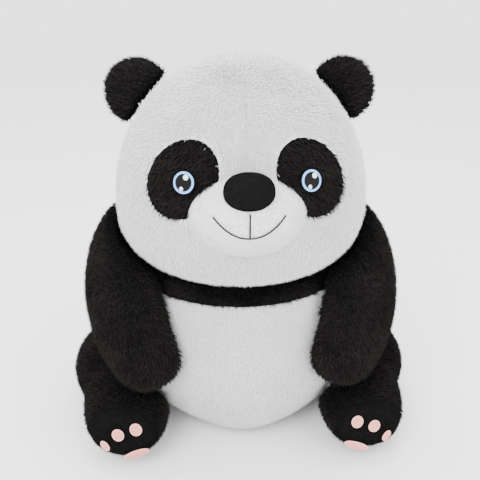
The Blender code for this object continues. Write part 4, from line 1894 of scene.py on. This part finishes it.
@dataclass
class Face:
    """Muzzle, nose, mouth and eyes."""

    shapes: Shapes
    head: Head
    smile_half_width: float = 0.037
    smile_end_z: float = 0.336
    smile_low_z: float = 0.315
    thread: float = 0.0009
    patch_lift: float = 0.0012

    def dress(self) -> None:
        """Makes every piece of the face."""
        self.head_tree = tree_of(self.head.cover.mesh)
        shapes = self.shapes
        self.make_cap("muzzle", shapes.muzzle, MUZZLE_VELOUR, self.head_tree, Seed.FACE)
        self.make_cap("nose", shapes.nose, NOSE_VELOUR, shapes.muzzle_tree, Seed.FACE + 1)
        self.make_mouth()
        for side in Side:
            self.make_patch(side)
            self.make_eye(side)

    def make_cap(
        self, name: str, form: CapForm, pile: Pile, under: BVHTree, seed: int
    ) -> None:
        """A stuffed cap sewn to what lies under it, with its core.

        Args:
            name: "muzzle" or "nose".
            form: Its form.
            pile: Its fabric.
            under: The form that it is sewn to.
            seed: The seed of its pile.
        """
        skin_in = 0.4 * pile.length
        mesh = form.mesh(f"{name}_cover", skin_in)
        deep = depths(points_of(mesh), under)
        Dressing.groom(mesh, Vector((0.0, 0.2, -1.0)), smooth_step(deep, -0.001, 0.001))

        def shows(spot: Vector) -> bool:
            """Whether a spot lies outside what the cap is sewn to."""
            hit, normal, _, _ = under.find_nearest(spot)
            return (spot - hit).dot(normal) > -0.003

        panel = Dressing.cut(mesh, name, (), shows)
        Dressing.back_and_plant(panel, f"{name}_cover", pile, "head", seed, 0.9)
        Dressing.core(mesh, f"{name}_fibre", "head", [f"{name}_stuffing"], 0.0016)

    def on_muzzle(self, x: float, z: float) -> tuple[Vector, Vector]:
        """The muzzle's front at x and z, and the way out of it."""
        hit, normal, _, _ = self.shapes.muzzle_tree.ray_cast(Vector((x, -1.0, z)), Y_AXIS)
        return hit, normal

    def make_mouth(self) -> None:
        """The smile and the line up to the nose, in back stitches."""

        def run(name: str, places: list[tuple[float, float]]) -> None:
            """Sews one line of the mouth."""
            work = Embroidery(name, self.thread, 8)
            for (x0, z0), (x1, z1) in zip(places, places[1:]):
                start, normal = self.on_muzzle(x0, z0)
                end, _ = self.on_muzzle(x1, z1)
                lap = (end - start) * 0.16
                raised = normal * 0.0007
                work.stitch(start - lap + raised, end + lap + raised, normal, 0.0004)
            work.sew(BLACK_THREAD, "head", [name])

        steps = 26
        smile = []
        for i in range(steps + 1):
            x = self.smile_half_width * (2 * i / steps - 1)
            rise = abs(x / self.smile_half_width) ** 2.1
            smile.append((x, self.smile_low_z + (self.smile_end_z - self.smile_low_z) * rise))
        run("mouth_smile", smile)
        top, low = 0.341, self.smile_low_z + 0.0005
        run("mouth_line", [(0.0, top + (low - top) * i / 7) for i in range(8)])

    def make_patch(self, side: Side) -> None:
        """The black patch round an eye: a leaf of plush that follows the face."""
        head, node = self.head, f"{side.word}_eye_patch"
        rings, spokes = 12, 64
        bm = bmesh.new()
        rows = []
        for ring in range(rings + 1):
            row = []
            for spoke in range(spokes if ring else 1):
                turn = 2 * math.pi * spoke / spokes
                share = ring / rings
                first = head.patch_half[0] * share * math.cos(turn)
                second = head.patch_half[1] * share * math.sin(turn)
                across, up = turned(first, second, -head.patch_lean)
                x = side.value * (head.patch_centre[0] + across)
                z = head.patch_centre[1] + up
                hit, normal, _, _ = self.head_tree.ray_cast(Vector((x, -1.0, z)), Y_AXIS)
                row.append(bm.verts.new(hit + normal * self.patch_lift))
            rows.append(row)
        for inner, outer in zip(rows, rows[1:]):
            for i in range(spokes):
                j = (i + 1) % spokes
                corners = [inner[i % len(inner)], outer[i], outer[j], inner[j % len(inner)]]
                bm.faces.new(list(dict.fromkeys(corners)))
        bmesh.ops.recalc_face_normals(bm, faces=bm.faces)
        bm.normal_update()
        if sum(face.normal.y for face in bm.faces) > 0:
            bmesh.ops.reverse_faces(bm, faces=bm.faces)
        mesh = mesh_of(bm, node)
        points = points_of(mesh)
        grows = smooth_step(depths(points, self.shapes.muzzle_tree), -0.002, 0.001)
        seat, radius = self.eye_seat(side)
        centre = np.array(seat.translation)
        away = np.linalg.norm(points - centre, axis=1)
        grows *= smooth_step(away, 0.8 * radius, 0.95 * radius)
        nap = 0.62 + 0.38 * smooth_step(away, radius, 2.2 * radius)
        Dressing.groom(mesh, Vector((0.3 * side.value, 0.0, -1.0)), grows, nap)
        seed = Seed.PATCH + side.value
        Dressing.back_and_plant(mesh, node, BLACK_PLUSH, "head", seed, None)

    def eye_seat(self, side: Side) -> tuple[Matrix, float]:
        """Where an eye sits, from the frame's own ring.

        Args:
            side: Which eye.

        Returns:
            The seat, its +Z out of the face and its +X to the viewer's right, and the radius.
        """
        points = points_of(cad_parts[f"{side.word}_eye_ring"].data)
        middle = points.mean(axis=0)
        _, _, axes = np.linalg.svd(points - middle)
        out = Vector(axes[2])
        if out.y > 0:
            out.negate()
        right = (X_AXIS - X_AXIS.dot(out) * out).normalized()
        up = out.cross(right)
        turn = Matrix((right, up, out)).transposed().to_4x4()
        radius = float(np.linalg.norm(points - middle, axis=1).max())
        return Matrix.Translation(Vector(middle)) @ turn, radius

    def make_eye(self, side: Side) -> None:
        """The embroidered eye: pupil, ring and two glints."""
        seat, radius = self.eye_seat(side)
        word, lift = side.word, 0.0006
        seat = seat @ Matrix.Translation((0, 0, lift))
        inner = 0.78 * radius
        pupil = Oval(seat, inner + 0.0006, inner + 0.0006, 0.0010)
        work = Embroidery(f"{word}_eye_pupil_thread", 0.00030, 5)
        pupil.fill(work, 0.00045, 55.0, 0.0042)
        work.sew(BLACK_THREAD, "head", [f"{word}_eye_pupil"])
        ring = Oval(seat, radius, radius, 0.0006)
        work = Embroidery(f"{word}_eye_ring_thread", 0.00030, 5)
        ring.edge(work, 0.00042, radius - inner)
        work.sew(BLUE_THREAD, "head", [f"{word}_eye_ring"])
        for glint, across, up, share in (("large", 0.26, 0.46, 0.25), ("small", -0.2, -0.55, 0.18)):
            spot = seat @ Matrix.Translation((across * radius, up * radius, 0.0011))
            size = share * radius
            field_of = Oval(spot, size, size, 0.0005)
            work = Embroidery(f"{word}_eye_glint_{glint}_thread", 0.00026, 5)
            field_of.fill(work, 0.0004, 20.0, 0.0050)
            work.sew(WHITE_THREAD, "head", [f"{word}_eye_glint_{glint}"])


@dataclass
class Ear:
    """An ear: front and back panels over a thin stuffing."""

    shapes: Shapes
    side: Side
    swell: float = 0.0012
    gap: float = 0.0025

    def __post_init__(self) -> None:
        """Makes the ear's form."""
        self.form = EarForm(side=self.side)
        self.shapes.ear_trees[self.side] = self.form.tree()

    def seams(self, points: np.ndarray) -> np.ndarray:
        """Each point's distance from the rim."""
        return np.abs(points[:, 1] - self.form.root.y)

    def press(self, points: np.ndarray) -> np.ndarray:
        """The points clear of the head."""
        return pressed(points, self.shapes.head_tree, self.gap)

    def lay(self, bench: StuffingBench) -> None:
        """Puts the cover on the bench."""
        mesh = self.form.mesh("ear_cover", 0.0025 + self.swell)
        move_points(mesh, self.press(points_of(mesh)))
        name = f"{self.side.word}_ear_cover"
        self.cover = bench.lay(name, mesh, self.seams, self.swell, 0.0035)

    def dress(self) -> None:
        """Cuts and dresses the panels."""
        mesh, word = self.cover.mesh, self.side.word
        points = self.press(points_of(mesh))
        move_points(mesh, points)
        grows = smooth_step(depths(points, self.shapes.head_tree), 0.001, 0.0035)
        Dressing.groom(mesh, self.side.of(self.form.out), grows)
        root, out = self.side.of(self.form.root), self.side.of(self.form.out)
        y = self.form.root.y
        body = Bend("head", f"{word}_ear", root - 0.004 * out, root + 0.02 * out)
        for part, sign in (("front", 1.0), ("back", -1.0)):
            node = f"{word}_ear_{part}"
            plane = (Vector((0, y - sign * SEAM_GAP / 2, 0)), sign * Y_AXIS)
            panel = Dressing.cut(mesh, node, [plane])
            seed = Seed.EAR + 10 * self.side.value + int(sign)
            Dressing.back_and_plant(panel, node, BLACK_PLUSH, body, seed, 0.5)
        Dressing.core(mesh, f"{word}_ear_fibre", body, [f"{word}_ear_stuffing"], 0.002)


Line = tuple[tuple[float, ...], ...]


@dataclass
class Limb:
    """What an arm and a leg share: an outer and an inner panel over stuffing."""

    shapes: Shapes
    side: Side
    kind: str = ""
    first_seed: int = 0
    line: Line = ()
    power: float = 2.5
    rings: int = 44
    bend: Line = ()
    swell: float = 0.003
    torso_clear: Range = (0.0035, 0.0065)

    def __post_init__(self) -> None:
        """Makes the limb's form."""
        self.form = LimbForm(
            line=self.line, power=self.power, side=self.side, rings=self.rings
        )
        self.seam_x = self.side.value * self.line[2][0]
        self.shapes.limb_trees[f"{self.side.word}_{self.kind}"] = self.form.tree()

    def press(self, points: np.ndarray) -> np.ndarray:
        """The points clear of what the limb lies against."""
        raise NotImplementedError

    def seams(self, points: np.ndarray) -> np.ndarray:
        """Each point's distance from the seam between the outer and the inner panel."""
        return np.abs(points[:, 0] - self.seam_x)

    def lay(self, bench: StuffingBench) -> None:
        """Puts the cover on the bench."""
        mesh = self.form.mesh(f"{self.kind}_cover", PILE_DEPTH + self.swell)
        move_points(mesh, self.press(points_of(mesh)))
        name = f"{self.side.word}_{self.kind}_cover"
        self.cover = bench.lay(name, mesh, self.seams, self.swell)

    def press_cover(self) -> np.ndarray:
        """Presses the filled cover and gives its points."""
        points = self.press(points_of(self.cover.mesh))
        move_points(self.cover.mesh, points)
        return points

    def make_panels(self, keep: Optional[Callable[[Vector], bool]] = None) -> None:
        """Makes both panels and the stuffing from the groomed cover.

        Args:
            keep: Says of a face's middle whether the face stays.
        """
        mesh, limb = self.cover.mesh, f"{self.side.word}_{self.kind}"
        start, end = (self.side.of(Vector(place)) for place in self.bend)
        body = Bend("torso", limb, start, end)
        for part, sign in (("outer", -self.side.value), ("inner", self.side.value)):
            node = f"{limb}_{part}_panel"
            plane = (Vector((self.seam_x - sign * SEAM_GAP / 2, 0, 0)), sign * X_AXIS)
            panel = Dressing.cut(mesh, node, [plane], keep)
            seed = self.first_seed + 10 * self.side.value + sign
            Dressing.back_and_plant(panel, node, BLACK_PLUSH, body, seed)
        Dressing.core(mesh, f"{limb}_fibre", body, [f"{limb}_stuffing"])


@dataclass
class Arm(Limb):
    """An arm from the shoulder to the paw, which lies on the leg."""

    kind: str = "arm"
    first_seed: int = Seed.ARM
    line: Line = (
        (0.104, 0.040, 0.300, 0.048, 0.048),
        (0.137, 0.008, 0.250, 0.056, 0.056),
        (0.146, -0.036, 0.204, 0.058, 0.058),
        (0.132, -0.088, 0.158, 0.061, 0.061),
        (0.102, -0.150, 0.114, 0.062, 0.058),
    )
    bend: Line = ((0.11, 0.06, 0.30), (0.138, -0.04, 0.215))
    head_clear: Range = (0.006, 0.010)
    leg_clear: Range = (REST_Z + 0.0025, REST_Z + 0.006)
    squash: float = 0.12

    def press(self, points: np.ndarray) -> np.ndarray:
        """The points clear of the torso, the head and the leg under the paw."""
        gap = ARM_GAP + PILE_DEPTH * 0.6
        made = pressed(points, self.shapes.torso_tree, gap)
        made = pressed(made, self.shapes.head_tree, NECK_GAP + gap)
        level = REST_Z + PILE_DEPTH
        low = made[:, 2] < level
        made[low, 2] = level + self.squash * (made[low, 2] - level)
        return made

    def dress(self) -> None:
        """Cuts and dresses the panels."""
        points = self.press_cover()
        grows = smooth_step(depths(points, self.shapes.torso_tree), *self.torso_clear)
        grows *= smooth_step(depths(points, self.shapes.head_tree), *self.head_clear)
        grows *= smooth_step(points[:, 2], *self.leg_clear)
        Dressing.groom(self.cover.mesh, Vector((0.0, -0.5, -1.0)), grows)
        self.make_panels()


@dataclass
class Leg(Limb):
    """A leg from the haunch to the sole, with its pads."""

    kind: str = "leg"
    first_seed: int = Seed.LEG
    line: Line = (
        (0.146, 0.082, 0.054, 0.058, 0.050),
        (0.168, 0.038, 0.056, 0.064, 0.051),
        (0.174, -0.006, 0.053, 0.062, 0.050),
        (0.160, -0.050, 0.047, 0.057, 0.046),
        (0.150, -0.112, 0.048, 0.062, 0.047),
        (0.148, -0.178, 0.050, 0.060, 0.045),
    )
    power: float = 3.0
    rings: int = 56
    bend: Line = ((0.145, 0.115, 0.054), (0.165, 0.01, 0.054))
    floor_clear: Range = (0.0025, 0.006)
    sole_centre: Vector = field(default_factory=lambda: Vector((0.151, -0.164, 0.050)))
    sole_turn: float = 10.0
    sole_lean: float = 8.0
    sole_half: tuple[float, float] = (0.046, 0.037)
    sole_level: float = -0.004
    sole_squash: float = 0.22
    pad_lift: float = 0.0022
    pad_edge: float = 0.0014
    pad_thread: float = 0.00036
    pads: tuple[tuple[str, float, float, float, float, float], ...] = (
        ("heel_pad", -0.016, -0.019, 0.0168, 0.0090, -24.0),
        ("inner_toe_pad", -0.017, 0.014, 0.0074, 0.0080, 0.0),
        ("middle_toe_pad", 0.005, 0.005, 0.0074, 0.0078, -15.0),
        ("outer_toe_pad", 0.0215, -0.011, 0.0045, 0.0074, -35.0),
    )

    def __post_init__(self) -> None:
        """Makes the leg's form and the sole's seat."""
        super().__post_init__()
        turn = Matrix.Rotation(math.radians(self.sole_turn), 3, "Z")
        lean = Matrix.Rotation(math.radians(-self.sole_lean), 3, "X")
        axes = [turn @ X_AXIS, turn @ lean @ Z_AXIS, turn @ lean @ -Y_AXIS]
        frame_of = Matrix([self.side.of(axis) for axis in axes]).transposed().to_4x4()
        self.seat = Matrix.Translation(self.side.of(self.sole_centre)) @ frame_of

    def press(self, points: np.ndarray) -> np.ndarray:
        """The points clear of the torso and the floor, and flattened at the sole."""
        made = pressed(points, self.shapes.torso_tree, LEG_GAP + PILE_DEPTH * 0.6)
        made[:, 2] = np.maximum(made[:, 2], SKIN_FLOOR)
        local = through(made, self.seat.inverted())
        past = local[:, 2] > self.sole_level
        over = local[past, 2] - self.sole_level
        local[past, 2] = self.sole_level + self.sole_squash * over
        return through(local, self.seat)

    def on_sole(self, spot: Vector) -> bool:
        """Whether a point lies in the sole's oval."""
        local = self.seat.inverted() @ spot
        across, up = local.x / self.sole_half[0], local.y / self.sole_half[1]
        return local.z > -0.02 and across**2 + up**2 < 1.0

    def dress(self) -> None:
        """Cuts and dresses the panels, the sole and the pads."""
        mesh, points = self.cover.mesh, self.press_cover()
        grows = smooth_step(depths(points, self.shapes.torso_tree), *self.torso_clear)
        grows *= smooth_step(points[:, 2], *self.floor_clear)
        Dressing.groom(mesh, Vector((0.1 * self.side.value, -1.0, -0.5)), grows)
        self.make_panels(lambda spot: not self.on_sole(spot))
        self.make_sole(mesh)
        self.make_pads(tree_of(mesh))

    def make_sole(self, mesh: bpy.types.Mesh) -> None:
        """The sole: an oval of short pile, bare under the pads.

        Args:
            mesh: The leg's cover.
        """
        node, body = f"{self.side.word}_sole", f"{self.side.word}_leg"
        panel = Dressing.cut(mesh, node, (), self.on_sole)
        points = points_of(panel)
        local = through(points, self.seat.inverted())
        grows = np.ones(len(points))
        for _, across, up, half_width, half_height, lean in self.pads:
            first, second = turned(local[:, 0] - across, local[:, 1] - up, lean)
            reach = np.hypot(first / half_width, second / half_height)
            grows *= smooth_step(reach, 0.75, 0.95)
        Dressing.groom(panel, Vector((0.0, 0.0, -1.0)), grows)
        seed = Seed.SOLE + self.side.value
        Dressing.back_and_plant(panel, node, SOLE_VELOUR, body, seed, None)

    def make_pads(self, surface: BVHTree) -> None:
        """The pads: satin fields with a paler raised edge.

        Args:
            surface: The foot's skin, on which they lie.
        """
        body = f"{self.side.word}_leg"
        axes = self.seat.to_3x3()
        for name, across, up, half_width, half_height, lean in self.pads:
            above = self.seat @ Vector((across, up, 0.05))
            hit, normal, _, _ = surface.ray_cast(above, -(axes @ Z_AXIS))
            first = (axes @ X_AXIS).normalized()
            first = (first - first.dot(normal) * normal).normalized()
            turn = Matrix((first, normal.cross(first), normal)).transposed().to_4x4()
            seat = Matrix.Translation(hit + normal * self.pad_lift) @ turn
            seat = seat @ Matrix.Rotation(math.radians(self.side.value * lean), 4, "Z")
            oval = Oval(seat, half_width, half_height, self.pad_edge)
            node = f"{self.side.word}_{name}"
            work = Embroidery(f"{node}_thread", self.pad_thread, 5)
            oval.fill(work, 0.00055, 72.0, 0.0060, 0.0006)
            work.sew(PINK_THREAD, body, [node])
            work = Embroidery(f"{node}_edge_thread", self.pad_thread, 5)
            oval.edge(work, 0.00052, self.pad_edge)
            work.sew(PALE_PINK_THREAD, body)


@dataclass
class Studio:
    """The floor, the lights and the camera."""

    azimuth: float = -3.2
    elevation: float = 22.5
    distance: float = 0.87
    target: Vector = field(default_factory=lambda: Vector((0.0, 0.0, 0.238)))
    lens: float = 49.0
    sky: float = 2.7

    def set_up(self) -> None:
        """Makes all of it."""
        mesh = bpy.data.meshes.new("floor")
        reach = 6.0
        corners = [(-reach, -reach, 0), (reach, -reach, 0), (reach, reach, 0), (-reach, reach, 0)]
        mesh.from_pydata(corners, [], [(0, 1, 2, 3)])
        floor = new_object("floor", mesh)
        mesh.materials.append(FLOOR_FINISH.material())
        world = bpy.data.worlds.new("studio")
        world.use_nodes = True
        background = world.node_tree.nodes["Background"]
        background.inputs[0].default_value = (1.0, 1.0, 1.0, 1.0)
        background.inputs[1].default_value = self.sky
        bpy.context.scene.world = world
        self.light("key", (-0.9, -1.6, 1.7), 1.2, 62.0)
        self.light("fill", (1.3, -1.3, 1.1), 1.4, 22.0)
        self.light("top", (0.0, 0.5, 1.9), 1.4, 24.0)
        self.camera()

    def light(
        self, name: str, place: tuple[float, float, float], size: float, power: float
    ) -> None:
        """A square soft light that looks at the toy's middle."""
        data = bpy.data.lights.new(name, "AREA")
        data.size, data.energy = size, power
        made = bpy.data.objects.new(name, data)
        bpy.context.scene.collection.objects.link(made)
        made.location = place
        made.rotation_euler = (Vector(place) - self.target).to_track_quat("Z", "Y").to_euler()

    def camera(self) -> None:
        """The camera, a little above the toy and close to it."""
        data = bpy.data.cameras.new("camera")
        data.lens, data.sensor_width = self.lens, 36.0
        made = bpy.data.objects.new("camera", data)
        bpy.context.scene.collection.objects.link(made)
        turn, rise = math.radians(self.azimuth), math.radians(self.elevation)
        level = math.cos(rise)
        back = Vector((math.sin(turn) * level, -math.cos(turn) * level, math.sin(rise)))
        made.location = self.target + self.distance * back
        made.rotation_euler = back.to_track_quat("Z", "Y").to_euler()
        data.clip_start, data.clip_end = 0.01, 50.0
        bpy.context.scene.camera = made


def main() -> None:
    """Builds the toy, body by body, and the studio round it."""
    logging.basicConfig(level=logging.INFO, format="%(message)s", stream=sys.stdout)
    shapes = Shapes()
    ears = [Ear(shapes, side) for side in Side]
    arms = [Arm(shapes, side) for side in Side]
    legs = [Leg(shapes, side) for side in Side]
    torso, head = Torso(shapes), Head(shapes)
    bench = StuffingBench()
    bodies = [torso, head, *ears, *arms, *legs]
    for body in bodies:
        body.lay(bench)
    bench.fill()
    log.info("covers are filled")
    for body in bodies:
        body.dress()
        log.info("%s is dressed", type(body).__name__)
    Face(shapes, head).dress()
    Studio().set_up()


if __name__ == "__main__":
    main()
